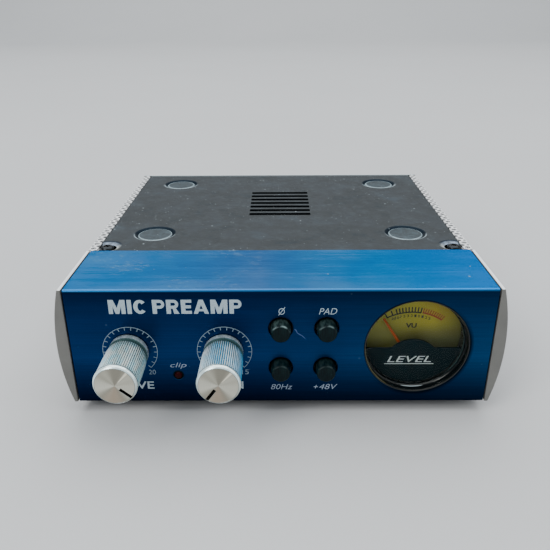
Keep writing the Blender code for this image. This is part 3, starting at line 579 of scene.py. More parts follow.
def knob_face_metal(name, turn):
    """A spun aluminium face: fine rings, the fans of light that they throw painted into its colour, a painted
    warm reflection near the bottom, and one narrow painted glint.
    """
    f = Finish(name, metallic=1.0, roughness=0.33, Anisotropic=0.75)
    x, y, z = f.axes()
    reach = f.radius(x, z)
    angle = f.plus(f.math("ARCTAN2", x, z), math.radians(turn))

    def wave(turns, peak):
        """A wave round the face, highest at an angle clockwise from straight up."""
        return f.math("COSINE", f.times(f.minus(angle, math.radians(peak)), turns))

    # Painted fans of light round the spun face.
    light_fans = f.plus(f.times(wave(2.0, 98), 0.55), f.times(wave(5.0, 50), 0.2), f.times(wave(9.0, 12), 0.1))
    f.colour = f.ramp(f.range(light_fans, -0.8, 0.8), (0.0, (0.235, 0.22, 0.18)), (0.5, (0.42, 0.405, 0.335)),
                      (1.0, (0.66, 0.65, 0.56)))
    # Painted warm reflection near the bottom of the face.
    f.coat((0.46, 0.33, 0.24), f.range(wave(1.0, 190), 0.75, 1.0, 0.0, 0.45))
    glint = f.times(f.range(wave(1.0, 42), 0.9955, 0.9998), f.range(reach, 1.0, 2.0))
    f.coat((0.95, 0.9, 0.74), glint, 0.75)
    rings = f.node("TexNoise", inputs={"Vector": f.node("CombineXYZ", inputs={"X": reach}),
                                       "Scale": 7.0, "Detail": 4.0})
    f.coat(f.tinted(f.colour, f.ramp(rings, (0.3, 0.6), (0.7, 1.5))), 0.25)
    spot = f.range(f.noise(0.5, detail=3), 0.7, 0.76)
    f.set("Tangent", f.node("Tangent", direction_type="RADIAL", axis="Y"))
    f.coat((0.25, 0.22, 0.18), spot, 0.3)
    return f.done((rings, 0.004))


def plastic(name, tint, rough=0.35, grain=0.35, depth=0.02, mottle=0.25, gloss=0.5):
    """Moulded plastic: a fine grain, a faint change of shade, and uneven gloss from handling."""
    f = Finish(name, Specular_IOR_Level=gloss)
    other = [c * (1 - mottle) + 0.01 * mottle for c in tint]
    f.colour = f.mix(f.range(f.noise(3.5, detail=4), 0.3, 0.75), tint, other)
    return f.done((f.noise(grain, detail=2), depth),
                  (f.noise(1.5, detail=3), rough - 0.08, rough + 0.1))


def button_plastic(name, painted_shine):
    """Olive-black moulded plastic with fine lines down its side: a painted highlight along the top of its
    front edge, and a paler side of dust and painted sheen, both as strong as each button's painted shine.
    """
    f = Finish(name, Specular_IOR_Level=0.1)
    x, y, z = f.axes()
    streak = f.noise(0.55, (1, 0.12, 0.16), 3, 0.6)
    f.colour = f.mix(f.range(streak, 0.42, 0.68), (0.0005, 0.0046, 0.0062), (0.0022, 0.0125, 0.014))
    # Painted highlight along the top of the front edge, as strong as the button's painted shine.
    edge = f.times(f.near(f.radius(x, z), 2.8, 0.05, 0.3), f.range(z, 0.4, 2.0),
                   f.range(y, BUTTON_FRONT + 0.9, BUTTON_FRONT + 0.5))
    f.coat((0.17, 0.24, 0.24), edge, f.range(f.noise(1.4, detail=4), 0.4, 0.62), painted_shine)
    # A paler side: dust, and painted sheen as strong as the button's painted shine.
    side = f.range(y, BUTTON_FRONT + 0.5, BUTTON_FRONT + 1.0)
    mottled_pale = f.range(f.noise(1.0, (1, 0.4, 1), 4), 0.45, 0.65, 0.15 * painted_shine, 0.15 + 0.75 * painted_shine)
    f.coat((0.042, 0.07, 0.066), side, mottled_pale)
    return f.done((streak, 0.03), (f.noise(0.9, detail=3), 0.3, 0.48))


def plated(name, tint, rough):
    """Plated metal with faint stains."""
    f = Finish(name, metallic=1.0)
    stain = f.range(f.noise(2.4, detail=5, roughness=0.7), 0.45, 0.75)
    f.colour = f.mix(f.times(stain, 0.5), tint, [c * 0.55 for c in tint])
    return f.done((f.noise(0.3, detail=2), 0.004), (f.noise(0.8, detail=3), rough - 0.06, rough + 0.1))


def ink(name, *tint):
    """Screen-printed ink: a little thin in places."""
    f = Finish(name, roughness=0.5)
    solid = f.range(f.noise(0.35, detail=3), 0.3, 0.55)
    f.colour = f.mix(solid, [c * 0.72 for c in tint], tint)
    return f.done((f.noise(0.15, detail=2), 0.004))


def dial_card():
    """The meter's card: warm yellow with painted light, brightest near the top and to the left, and painted
    shade falling off to olive towards the bottom, the right and the rim.
    """
    f = Finish("dial_card", roughness=0.6)
    x, y, z = f.axes()
    # Painted light: brightest near the top, painted shade towards the bottom.
    f.colour = f.ramp(f.range(z, -2.0, 9.0), (0.0, (0.085, 0.092, 0.03)), (0.28, (0.165, 0.15, 0.022)),
                      (0.6, (0.35, 0.305, 0.012)), (1.0, (0.46, 0.4, 0.012)))
    # Painted light lifting the left side.
    f.coat((0.3, 0.29, 0.04), f.range(x, 1, -9), 0.55)
    f.coat((0.4, 0.17, 0.012), f.range(x, 0, 9), f.range(z, 4, 11), 0.45)
    # Painted shade near the rim and towards the right.
    edge_shade = f.most(f.range(f.radius(x, z), 15.2, 16.6, 0.0, 0.4), f.range(x, 7, 16, 0.0, 0.62))
    f.coat((0.045, 0.05, 0.014), edge_shade)
    f.coat((0.15, 0.14, 0.03), f.range(f.noise(4, detail=3), 0.35, 0.8, 0, 0.2))
    return f.done((f.noise(0.6, detail=2), 0.001))


def clear_window():
    """A clear plastic window: mostly see-through, with a gloss that grows towards its rim."""
    f = Finish("clear_window", roughness=0.06)
    smear = f.range(f.noise(5, (1, 1, 2.0), 4), 0.3, 0.8)
    gloss = f.node("BsdfGlossy", inputs={"Color": (0.9, 0.93, 0.95),
                                         "Roughness": f.range(smear, 0, 1, 0.02, 0.08)})
    through = f.node("BsdfTransparent", inputs={"Color": (0.93, 0.94, 0.92)})
    rim = f.node("Fresnel", inputs={"IOR": 1.42})
    amount = f.times(rim, f.range(smear, 0, 1, 0.08, 0.15))
    out = next(n for n in f.tree.nodes if n.type == "OUTPUT_MATERIAL")
    f.plug(out.inputs["Surface"], f.node("MixShader", inputs={0: amount, 1: through, 2: gloss}))
    return f.material


def meter_ring():
    """Polished black ring: a painted bronze highlight along its upper left edge, a painted pale reflection
    along its inner right edge, and one painted glint at the bottom.
    """
    f = Finish("meter_ring_black", Specular_IOR_Level=0.35)
    x, y, z = f.axes()
    reach = f.radius(x, z)
    across, rise = [f.math("DIVIDE", axis, reach) for axis in (x, z)]
    # Painted bronze highlight along the outer edge, on the upper left.
    lit_side = f.range(f.minus(rise, across), -0.55, 0.45, 0.05, 1.0)
    patchy = f.range(f.noise(3.0, detail=4), 0.3, 0.6, 0.35, 1.0)
    painted_shine = f.times(f.near(reach, 15.97, 0.03, 0.14), lit_side, patchy)
    f.colour = f.mix(painted_shine, (0.001, 0.0026, 0.004), (0.15, 0.14, 0.06))
    # Painted pale reflection along the inner edge on the right.
    inner = f.times(f.range(reach, 15.4, 15.3), f.range(across, 0.6, 0.9))
    f.coat((0.06, 0.095, 0.1), inner, 0.7)
    glint = f.times(f.range(rise, -0.972, -0.992), f.near(reach, 15.73, 0.035, 0.075))
    f.set("Metallic", f.times(glint, 0.5))
    f.coat((0.74, 0.84, 0.9), glint)
    return f.done((f.noise(0.4, detail=2), 0.002), (f.noise(1.2, detail=3), 0.1, 0.2))


def board_finish():
    """Green solder mask with traces showing through as paler lines."""
    f = Finish("circuit_board", roughness=0.4)
    traces = f.node("TexBrick", inputs={"Vector": f.place(), "Scale": 90.0, "Mortar Size": 0.03,
                                        "Color1": (0.01, 0.07, 0.03), "Color2": (0.014, 0.085, 0.035),
                                        "Mortar": (0.05, 0.22, 0.1)})
    f.colour = f.mix(f.range(f.noise(6), 0.3, 0.7, 0, 0.4), traces, (0.01, 0.05, 0.02))
    return f.done((f.noise(0.6), 0.02))


def ribbon_finish():
    """Flat cable: grey strands side by side."""
    f = Finish("ribbon_cable", roughness=0.45)
    pitch = 1.27
    strand = f.math("SINE", f.times(f.axes()[0], 2 * math.pi / pitch))
    f.colour = f.mix(f.range(strand, -1, 1), (0.2, 0.2, 0.21), (0.4, 0.4, 0.41))
    return f.done((strand, 0.15))


def floor_finish(tone):
    f = Finish("pale_floor", roughness=0.75)
    shade = f.range(f.noise(260, detail=3), 0.3, 0.7)
    f.colour = f.mix(shade, tone, [c * 0.97 for c in tone])
    return f.done((f.noise(3, detail=2), 0.05))


KNOB_RESTS = {name: 150 - max(JOINTS[f"{name}_turn"]["range_deg"]) for name in ("drive", "gain")}
# Painted shine for each button: the upper ones painted lit, the lower ones painted shaded.
BUTTON_SHINE = {"phase": 0.9, "pad": 0.5, "lowcut": 0.12, "phantom": 0.12}

BLUE = blue_metal()
SILVER = silver_metal("silver_sheet", (0.66, 0.68, 0.69), 0.32, 0.45, (1, 1, 1))
CHEEK = silver_metal("silver_end_piece", (0.17, 0.167, 0.155), 0.4, 0.3, (0.95, 0.97, 0.98))
INNER_STEEL = silver_metal("inner_steel", (0.035, 0.038, 0.04), 0.5, 0.4)
COVER = cover_metal()
# The tints are painted shade on each knob's right side, blue on the gain knob as a painted reflection.
KNOB_SIDES = {name: knob_side_metal(f"{name}_knurled_aluminium", tint)
              for name, tint in (("drive", (0.64, 0.78, 0.76)), ("gain", (0.06, 0.42, 0.7)))}
KNOB_FACES = {name: knob_face_metal(f"{name}_spun_aluminium", rest) for name, rest in KNOB_RESTS.items()}
BUTTONS = {name: button_plastic(f"{name}_button_black", mark_strength) for name, mark_strength in BUTTON_SHINE.items()}
BLACK = plastic("black_plastic", (0.008, 0.009, 0.01), 0.32, gloss=0.3)
POINTER_BLACK = plastic("pointer_black", (0.0006,) * 3, 0.6, depth=0.002, mottle=0.0, gloss=0.02)
GLOSS_BLACK = plastic("gloss_black", (0.002, 0.003, 0.004), 0.12, depth=0.002, gloss=0.35)
MASK = plastic("meter_mask_black", (0.0006, 0.01, 0.015), 0.5, depth=0.002, gloss=0.05)
METER_WALL = plastic("meter_wall", (0.006, 0.008, 0.008), 0.3)
METER_RING = meter_ring()
RUBBER = plastic("foot_rubber", (0.018,) * 3, 0.75, 0.5, 0.05)
LAMP_RED = plastic("lamp_red", (0.026, 0.0004, 0.0012), 0.3, depth=0.003, gloss=0.06)
NEEDLE_ORANGE = plastic("needle_orange", (0.46, 0.08, 0.014), 0.6, depth=0.003, gloss=0.1)
NICKEL = plated("nickel_plate", (0.62, 0.63, 0.64), 0.22)
DARK_STEEL = plated("dark_steel", (0.1, 0.1, 0.105), 0.35)
SCREW_BLACK = plated("black_screw", (0.03, 0.034, 0.038), 0.2)
PRINT, PRINT_DIM = ink("panel_print", 0.4, 0.5, 0.56), ink("scale_print", 0.2, 0.28, 0.34)
PRINT_SOFT, LOGO = ink("label_print", 0.27, 0.34, 0.44), ink("mask_print", 0.62, 0.7, 0.74)
DIAL_BLACK, DIAL_RED = ink("dial_black", 0.004, 0.005, 0.004), ink("dial_red", 0.32, 0.038, 0.004)
WINDOW, CARD = clear_window(), dial_card()
BOARD, RIBBON = board_finish(), ribbon_finish()


# ------------------------------------------------------------------ lettering and printed lines
PRINT_RISE, PRINT_FRONT, PRINT_BACK = 0.02, -0.03, 0.01
LEAN = 0.25


def lettering(name, text, centre, size, finish, y=0.0, slant=0.0, bold=0.0, rear=False):
    """Raised print that fills a box of (width, height) about (x, z) on a face that looks forwards."""
    curve = bpy.data.curves.new(name, "FONT")
    curve.body, curve.size, curve.shear, curve.offset = text, 1.0, slant, bold
    curve.resolution_u, curve.extrude = 5, 0.01
    obj = linked(name, curve)
    flat = evaluated(obj)
    bpy.data.objects.remove(obj)
    bm = bmesh.new()
    bm.from_mesh(flat)
    bpy.data.meshes.remove(flat)
    bmesh.ops.remove_doubles(bm, verts=bm.verts, dist=1e-5)
    lows = [min(v.co[i] for v in bm.verts) for i in range(2)]
    highs = [max(v.co[i] for v in bm.verts) for i in range(2)]
    flip = -1 if rear else 1
    for vert in bm.verts:
        across, up = [(vert.co[i] - (lows[i] + highs[i]) / 2) / (highs[i] - lows[i]) * size[i]
                      for i in range(2)]
        depth = PRINT_RISE * flip * (-1 if vert.co.z > 0 else 0.4)
        vert.co = Vector((centre[0] + across * flip, y + depth, centre[1] + up)) * MM
    bmesh.ops.recalc_face_normals(bm, faces=bm.faces)
    return dress(linked(name, mesh_of(bm, name)), name, finish, weighted=False)


def arc_band(bm, centre, radius, width, start, end, front=PRINT_FRONT, back=PRINT_BACK, steps=48):
    """A curved line on a face; angles are clockwise from straight up, in degrees."""
    turns = [math.radians(start + (end - start) * step / steps) for step in range(steps + 1)]
    outer, inner = [[(centre[0] + reach * math.sin(a), centre[1] + reach * math.cos(a)) for a in turns]
                    for reach in (radius + width / 2, radius - width / 2)]
    prism(bm, outer + inner[::-1], "Y", front, back)


def tick(bm, centre, angle, start, end, width, front, back=PRINT_BACK):
    a = math.radians(angle)
    way, side = Vector((math.sin(a), math.cos(a))), Vector((math.cos(a), -math.sin(a))) * width / 2
    near, far = Vector(centre) + way * start, Vector(centre) + way * end
    prism(bm, [tuple(c) for c in (near + side, far + side, far - side, near - side)], "Y", front, back)


# ------------------------------------------------------------------ casing
SCREW_SEAT = 0.95


def front_bezel():
    fold, inside, plate, lip = 0.85, 0.4, 2.0, 1.5
    top, back = HEIGHT, BEZEL_DEPTH

    def channel(bm):
        outline = corner((fold, top - fold), fold, 180, 90) + [(back, top), (back, top - lip)]
        outline += corner((plate + inside, top - lip - inside), inside, 90, 180, 3)
        outline += corner((plate + inside, lip + inside), inside, 180, 270, 3) + [(back, lip), (back, 0)]
        outline += corner((fold, fold), fold, 270, 180)
        prism(bm, outline, "X", -FACE_HALF, FACE_HALF)
        soften(bm, 0.12, 2, 60)

    def hole(x, z, radius, edge=0.22, segments=64):
        profile = [(0, -1), (radius + edge + 1, -1), (radius + edge, 0), (radius + edge * 0.3, edge * 0.3),
                   (radius, edge), (radius, 5), (0, 5)]
        return lambda bm: lathe(bm, profile, "Y", segments, (x, 0, z))

    shaft, key, lens, meter_rim = 4.3, 3.8, 1.7, 16.5
    cuts = [hole(place.x, place.z, shaft) for place in (DRIVE, GAIN)]
    cuts += [hole(x, z, key, 0.28) for x in (PHASE.x, PHANTOM.x) for z in (PHASE.z, PHANTOM.z)]
    cuts += [hole(LAMP.x, LAMP.z, lens, 0.15, 32), hole(METER.x, METER.z, meter_rim, 0.08, 128)]
    piece("bezel_plate", channel, BLUE, stands_for=["front_bezel"], cuts=cuts, sharp=30)


def cheek(side, name):
    def block(bm):
        arc = bowed_side(HEIGHT, 0, SIDE_EDGE, SIDE_BULGE, 48)
        outline = [(side * x, z) for x, z in arc + [(CHEEK_INNER, 0), (CHEEK_INNER, HEIGHT)]]
        prism(bm, outline, "Y", 0, BEZEL_DEPTH)
        soften(bm, 0.28, 3, 50)

    piece(f"{name}_end_piece", block, CHEEK, stands_for=[f"{name}_cheek"], sharp=30)


def panel_path():
    """The side panel's section from its fold on the cover round to its fold underneath: its points
    (x, z), and how far along it each of them lies."""
    top, bottom, bend, lip, edge = COVER_TOP + 0.2, 0.1, 0.9, COVER_HALF - FLANGE_LAP, SIDE_EDGE + 0.15
    arc = bowed_side(top - bend, bottom + bend, edge, SIDE_BULGE, 60)
    points = [(lip, top)] + corner((edge - bend, top - bend), bend, 90, 4, 8) + arc[1:-1]
    points += corner((edge - bend, bottom + bend), bend, -4, -90, 8) + [(lip, bottom)]
    lengths = [0.0]
    for before, after in zip(points, points[1:]):
        lengths.append(lengths[-1] + math.dist(before, after))
    return points, lengths


def on_path(points, lengths, along):
    """The point that lies a length along a path."""
    along = min(max(along, 0.0), lengths[-1])
    step = max(i for i in range(len(lengths) - 1) if lengths[i] <= along)
    share = (along - lengths[step]) / (lengths[step + 1] - lengths[step])
    a, b = Vector(points[step]), Vector(points[step + 1])
    return a + (b - a) * share


def side_panel(side, name):
    """A perforated sheet: staggered round holes in hexagonal cells, bent round the bowed section."""
    pitch, radius, thick, first_row, steps = 2.6, 1.0, 0.5, 0.15, 12
    cell_corner = pitch / 2 / math.cos(math.pi / 6)
    points, lengths = panel_path()
    start, end = COVER_START, COVER_END + 0.2
    across, along = pitch / 2, pitch * math.sqrt(3)
    bm = bmesh.new()
    for row in range(-1, int(lengths[-1] / across) + 3):
        for column in range(-1, int((end - start) / along) + 3):
            u, v = row * across + first_row, start + column * along + (row % 2) * along / 2
            cell, hole = [], []
            for step in range(steps):
                angle = 2 * math.pi * step / steps
                reach = cell_corner if step % 2 == 0 else pitch / 2
                cell.append(bm.verts.new((v + reach * math.cos(angle), u + reach * math.sin(angle), 0)))
                hole.append(bm.verts.new((v + radius * math.cos(angle), u + radius * math.sin(angle), 0)))
            for step in range(steps):
                after = (step + 1) % steps
                bm.faces.new((cell[step], cell[after], hole[after], hole[step]))
    bmesh.ops.remove_doubles(bm, verts=bm.verts, dist=0.01)
    for place, normal in (((start, 0, 0), (-1, 0, 0)), ((end, 0, 0), (1, 0, 0)),
                          ((0, 0, 0), (0, -1, 0)), ((0, lengths[-1], 0), (0, 1, 0))):
        geometry = bm.verts[:] + bm.edges[:] + bm.faces[:]
        bmesh.ops.bisect_plane(bm, geom=geometry, plane_co=place, plane_no=normal, clear_outer=True)
    for vert in bm.verts:
        spot = on_path(points, lengths, vert.co.y)
        vert.co = Vector((side * spot.x, vert.co.x, spot.y)) * MM
    bmesh.ops.recalc_face_normals(bm, faces=bm.faces)
    if sum(face.normal.x * side * face.calc_area() for face in bm.faces) < 0:
        bmesh.ops.reverse_faces(bm, faces=bm.faces)
    obj = linked(name, mesh_of(bm, name))
    solid = obj.modifiers.new("thickness", "SOLIDIFY")
    solid.thickness, solid.offset = thick * MM, -1
    bake(obj)
    dress(obj, f"{name}_perforated_panel", SILVER, stands_for=[f"{name}_side_panel"], sharp=40, weighted=False)


def top_cover():
    """Steel sheet with pressed recesses, vent slots with round ends, and the screws' dimples."""
    low = COVER_TOP - 0.8
    corners = [(side * place.x, place.y) for side, _ in SIDES for place in (RECESS_FRONT, RECESS_REAR)]
    recess = [(0, -0.42), (5.85, -0.42), (6.1, -0.48), (6.3, -0.68), (6.46, -0.9), (6.65, -0.96),
              (6.9, -0.74), (7.15, -0.42), (7.4, -0.19), (7.7, -0.06), (8.2, 0.02), (8.2, 1), (0, 1)]
    dimple = [(0, -3), (1.6, -3), (1.6, -SCREW_SEAT), (2.7, -SCREW_SEAT), (3.0, -0.9), (3.5, -0.7),
              (4.1, -0.34), (4.5, -0.12), (5.0, 0.02), (5.0, 1), (0, 1)]

    def sheet(bm):
        half = COVER_HALF - FLANGE_LAP - 0.2
        box(bm, (-half, half), (COVER_START, COVER_END + 0.2), (low, COVER_TOP))
        soften(bm, 0.18, 3, 50)

    def pressing(bm):
        shell = [(0, COVER_TOP - 2.3), (7.0, COVER_TOP - 2.3), (8.0, COVER_TOP - 1.6), (8.6, low + 0.3),
                 (0, low + 0.3)]
        for x, y in corners:
            lathe(bm, shell, "Z", 48, (x, y, 0))

    def sunk(profile, x, y, segments):
        return lambda bm: lathe(bm, [(r, COVER_TOP + h) for r, h in profile], "Z", segments, (x, y, 0))

    def vents(bm):
        first, pitch = 72.0, 4.95
        for number in range(7):
            outline = rounded(12.45, 1.4, 0.5, 3, (0, first + pitch * number))
            prism(bm, outline, "Z", COVER_TOP - 3, COVER_TOP + 1)

    cuts = [sunk(recess, x, y, 72) for x, y in corners]
    cuts += [sunk(dimple, side * SCREW.x, SCREW.y, 56) for side, _ in SIDES] + [vents]
    piece("cover_sheet", sheet, COVER, stands_for=["top_cover"], joins=[pressing], cuts=cuts, sharp=28)


def cross_head_screw(name, at, finish, axis="Z", radius=2.35, stands_for=()):
    """A pan head with a cross recess, on a short shank."""
    head = [(0, -1.2), (1.2, -1.2), (1.2, 0), (radius, 0), (radius, 0.45), (radius * 0.93, 0.75),
            (radius * 0.75, 1.0), (radius * 0.45, 1.12), (0, 1.15)]

    def cross(turn):
        def arm(bm):
            long, short = radius * 0.5, radius * 0.13
            box(bm, (-long, long), (-short, short), (0.35, 2))
            matrix = Matrix.Rotation(turn, 3, "Z")
            if axis == "Y":
                matrix = Matrix.Rotation(-math.pi / 2, 3, "X") @ matrix
            bmesh.ops.rotate(bm, verts=bm.verts, cent=(0, 0, 0), matrix=matrix)
        return arm

    turned(name, head, finish, 40, axis, at=at, cuts=[cross(0.5), cross(0.5 + math.pi / 2)],
           stands_for=stands_for)


def screws(side, name):
    place = case_middle(f"{name}_rear_screw")
    cross_head_screw(f"{name}_cover_cross_screw", (side * SCREW.x, SCREW.y, COVER_TOP - SCREW_SEAT),
                     SCREW_BLACK, stands_for=[f"{name}_cover_screw"])
    cross_head_screw(f"{name}_rear_cross_screw", (place.x, BODY_DEPTH + 0.02, place.z), NICKEL, "Y", 2.4,
                     stands_for=[f"{name}_rear_screw"])


def feet(side, name):
    rubber = [(0, -3.0), (2.0, -3.0), (2.3, -3.2), (2.4, -4.05), (5.6, -4.05), (6.05, -3.9), (6.25, -3.45),
              (6.55, -0.5), (6.5, -0.1), (0, -0.1)]
    rivet = [(0, -3.6), (1.2, -3.5), (1.75, -3.15), (1.8, -2.9), (0, -2.9)]
    for end, place in (("front", RECESS_FRONT), ("rear", RECESS_REAR)):
        node, at = f"{end}_{name}_foot", (side * place.x, place.y, 0)
        turned(f"{node}_rubber", rubber, RUBBER, 48, "Z", at=at, stands_for=[node])
        turned(f"{node}_rivet", rivet, NICKEL, 32, "Z", at=at)


# ------------------------------------------------------------------ knobs, buttons, lamp
def fluted(radius, along, angle):
    """Deepens the knob's body into sixty flutes that fade out at both ends."""
    fade_back = min(1, max(0, (-3.6 - along) / 1.6))
    fade_front = min(1, max(0, (along - KNOB_FRONT - KNOB_BAND) / 0.4))
    depth = 0.3 * fade_back * fade_front
    return radius - depth * abs(math.sin(angle * 30)) ** 2.4 if 6.0 < radius < 6.42 else radius


def knob(name, rest):
    """A fluted knob with a polished band, a spun face and an inlaid pointer, at its rest angle."""
    front, half, at, body = KNOB_FRONT, 0.48, on_front(joint_place(f"{name}_turn")), f"{name}_control"
    line, band = front + KNOB_LINE, front + KNOB_BAND
    profile = [(0, front + 0.05), (3.0, front + 0.03), (KNOB_FACE, front), (5.8, front + 0.1),
               (5.87, front + 0.03), (6.16, front + 0.22), (6.37, front + 0.5), (6.47, front + 0.78),
               (6.5, line - 0.26), (6.36, line - 0.18), (6.36, line + 0.18), (6.45, line + 0.26),
               (6.43, band), (6.4, band + 0.1), (6.4, band + 0.45), (6.4, -15.5), (6.4, -14),
               (6.39, -11), (6.38, -8), (6.36, -5.6), (6.3, -4.6), (6.16, -3.9), (5.98, -3.3),
               (5.92, -2.9), (5.95, -2.75), (6.15, -2.65), (6.22, -2.5), (6.22, -0.6), (6.1, -0.4),
               (5.6, -0.4), (5.6, -3.4), (3.3, -3.4), (3.3, -15.5), (0, -15.5)]

    def groove(bm):
        box(bm, (-half - 0.04, half + 0.04), (front - 1, front + 0.28), (1.76, 6.04))

    def inlay(bm):
        box(bm, (-half, half), (front + 0.08, front + 0.3), (1.8, 6.0))
        soften(bm, 0.05, 2)

    obj = blank(name, lambda bm: lathe(bm, profile, "Y", 240, shape=fluted), at, rest)
    carve(obj, groove)
    dress(obj, f"{name}_fluted_knob", [KNOB_SIDES[name], KNOB_FACES[name]], body, [f"{name}_knob"], 32)
    for face in obj.data.polygons:
        spot = face.center / MM
        on_face = spot.y < front + 0.3 and math.hypot(spot.x, spot.z) < KNOB_FACE + 0.02
        if on_face and face.normal.y < -0.9:
            face.material_index = 1
    piece(f"{name}_pointer", inlay, POINTER_BLACK, body, at=at, turn=rest)


def knob_scale(name, place, low, high):
    """The printed arc and ticks round a knob, with a number at each end."""
    radius, sweep, count, shift = 8.55, 135, 20, 0.25
    at = (place.x + shift, 0, place.z)

    def ticks(bm):
        for step in range(count):
            angle = -sweep + 2 * sweep * step / (count - 1)
            tick(bm, (0, 0), angle, radius - 1.1, radius - 0.06, 0.24, -0.032)

    piece(f"{name}_scale_arc", lambda bm: arc_band(bm, (0, 0), radius, 0.2, -sweep, sweep, steps=90),
          PRINT_DIM, at=at, weighted=False)
    piece(f"{name}_scale_ticks", ticks, PRINT_DIM, at=at, weighted=False)
    for side, end, text in ((-1, "low", low), (1, "high", high)):
        lettering(f"{name}_scale_{end}", text, (at[0] + side * 6.3, place.z - 7.75),
                  (1.1 * len(text), 1.75), PRINT_DIM)


def button(name):
    front, back, at = BUTTON_FRONT, 5.0, on_front(case_middle(f"{name}_button"))
    cap = [(0, front + 0.2), (1.3, front + 0.14), (2.0, front + 0.04), (2.3, front), (2.55, front + 0.08),
           (2.76, front + 0.24), (2.9, front + 0.48), (3.0, front + 0.8), (3.07, front + 1.3),
           (3.12, -1.5), (3.14, back), (1.5, back), (1.5, 8.2), (0, 8.2)]
    sleeve = [(3.5, 2.02), (3.78, 2.02), (3.78, 7.4), (3.5, 7.4)]

    def ribbed(radius, along, angle):
        on_side = along > front + 0.6 and radius > 3
        return radius - 0.05 * (1 - abs(math.cos(angle * 14))) if on_side else radius

    piece(f"{name}_cap", lambda bm: lathe(bm, cap, "Y", 112, shape=ribbed), BUTTONS[name], f"{name}_key",
          [f"{name}_button"], at=at, sharp=50)
    turned(f"{name}_sleeve", sleeve, BLACK, at=at)


def lamp():
    dome = [(0, -0.75), (0.35, -0.72), (0.7, -0.6), (1.0, -0.38), (1.2, -0.05), (1.3, 0.4), (1.4, 2.5),
            (1.9, 2.5), (1.9, 3.5), (0, 3.5)]
    collar = [(1.42, -0.12), (1.62, -0.12), (1.68, -0.02), (1.68, 1.8), (1.42, 1.8)]
    turned("clip_lamp_dome", dome, LAMP_RED, 40, stands_for=["clip_led"], at=on_front(LAMP))
    turned("clip_lamp_collar", collar, MASK, 40, at=on_front(LAMP))


def front_labels():
    title()
    upper, lower, thin = 33.1, 5.8, -0.006
    labels = (("drive_print", "DRIVE", DRIVE.x, 6.5, 13.4, 2.8, PRINT, 0, 0.012),
              ("gain_print", "GAIN", GAIN.x, 6.5, 11.6, 2.8, PRINT, 0, 0.012),
              ("clip_print", "clip", -32.4, 13.8, 5.2, 2.3, PRINT_SOFT, LEAN, thin),
              ("pad_print", "PAD", PHANTOM.x + 0.25, upper, 5.5, 2.1, PRINT, LEAN, thin),
              ("lowcut_print", "80Hz", PHASE.x + 0.25, lower, 6.9, 2.0, PRINT_SOFT, LEAN, thin),
              ("phantom_plus", "+", PHANTOM.x - 2.9, 5.75, 1.4, 1.3, PRINT_SOFT, LEAN, 0),
              ("phantom_print", "48V", PHANTOM.x + 1.1, lower, 5.8, 2.0, PRINT_SOFT, LEAN, thin))
    for name, text, x, z, width, height, finish, slant, bold in labels:
        lettering(name, text, (x, z), (width, height), finish, slant=slant, bold=bold)

    def phase_mark(bm):
        arc_band(bm, (0, 0), 0.92, 0.25, 0, 359.9, steps=32)
        tick(bm, (0, 0), 40, -1.75, 1.75, 0.22, -0.034)
        bmesh.ops.scale(bm, vec=(0.92, 1, 1.05), verts=bm.verts)

    piece("phase_print", phase_mark, PRINT, at=(PHASE.x + 0.3, 0, upper), weighted=False)
    knob_scale("drive", DRIVE, "0", "20")
    knob_scale("gain", GAIN, "0", "15")


def title_letters(high):
    """Block letters in millimetres, as name: (width, outline, counter)."""
    stem, bar, bowl, middle = 1.45, 1.0, 1.5, high / 2
    letters = {"I": (stem, [(0, 0), (0, high), (stem, high), (stem, 0)], None)}
    wide = 5.6
    letters["M"] = wide, [(0, 0), (0, high), (1.7, high), (wide / 2, 2.0), (wide - 1.7, high), (wide, high),
                          (wide, 0), (wide - 1.4, 0), (wide - 1.4, 2.6), (wide / 2 + 0.6, 0),
                          (wide / 2 - 0.6, 0), (1.4, 2.6), (1.4, 0)], None
    wide, arm = 3.5, 3.3
    letters["E"] = wide, [(0, 0), (0, high), (wide, high), (wide, high - bar), (stem, high - bar),
                          (stem, middle + bar / 2), (arm, middle + bar / 2), (arm, middle - bar / 2),
                          (stem, middle - bar / 2), (stem, bar), (wide, bar), (wide, 0)], None
    turns = [math.radians(40 + 280 * step / 32) for step in range(33)]
    outer = [(2.2 + 2.2 * math.cos(a), middle * (1 + math.sin(a))) for a in turns]
    hollow = [(2.2 + 0.8 * math.cos(a), middle + (middle - bar) * math.sin(a)) for a in turns]
    letters["C"] = 3.95, outer + hollow[::-1], None
    wide = 4.0
    centre, waist = (wide - bowl, high - bowl), high - 2 * bowl
    counter = [(stem, high - bar)] + corner(centre, bowl - bar, 90, -90) + [(stem, waist + bar)]
    back = [(0, 0), (0, high)]
    letters["P"] = wide, back + corner(centre, bowl, 90, -90, 12) + [(stem, waist), (stem, 0)], counter
    leg = [(wide + 0.25, 0), (wide - 1.5, 0), (centre[0] - 0.4, waist), (stem, waist), (stem, 0)]
    letters["R"] = wide + 0.25, back + corner(centre, bowl, 90, -65, 12) + leg, counter
    wide, foot, slope, low, sill = 5.0, 1.35, 0.379, 0.85, 1.6
    letters["A"] = (wide, [(0, 0), (slope * high, high), (wide - slope * high, high), (wide, 0),
                           (wide - foot, 0), (wide - foot - slope * low, low), (foot + slope * low, low),
                           (foot, 0)],
                    [(foot + slope * sill, sill), (wide - foot - slope * sill, sill),
                     (wide / 2, (wide / 2 - foot) / slope)])
    return letters


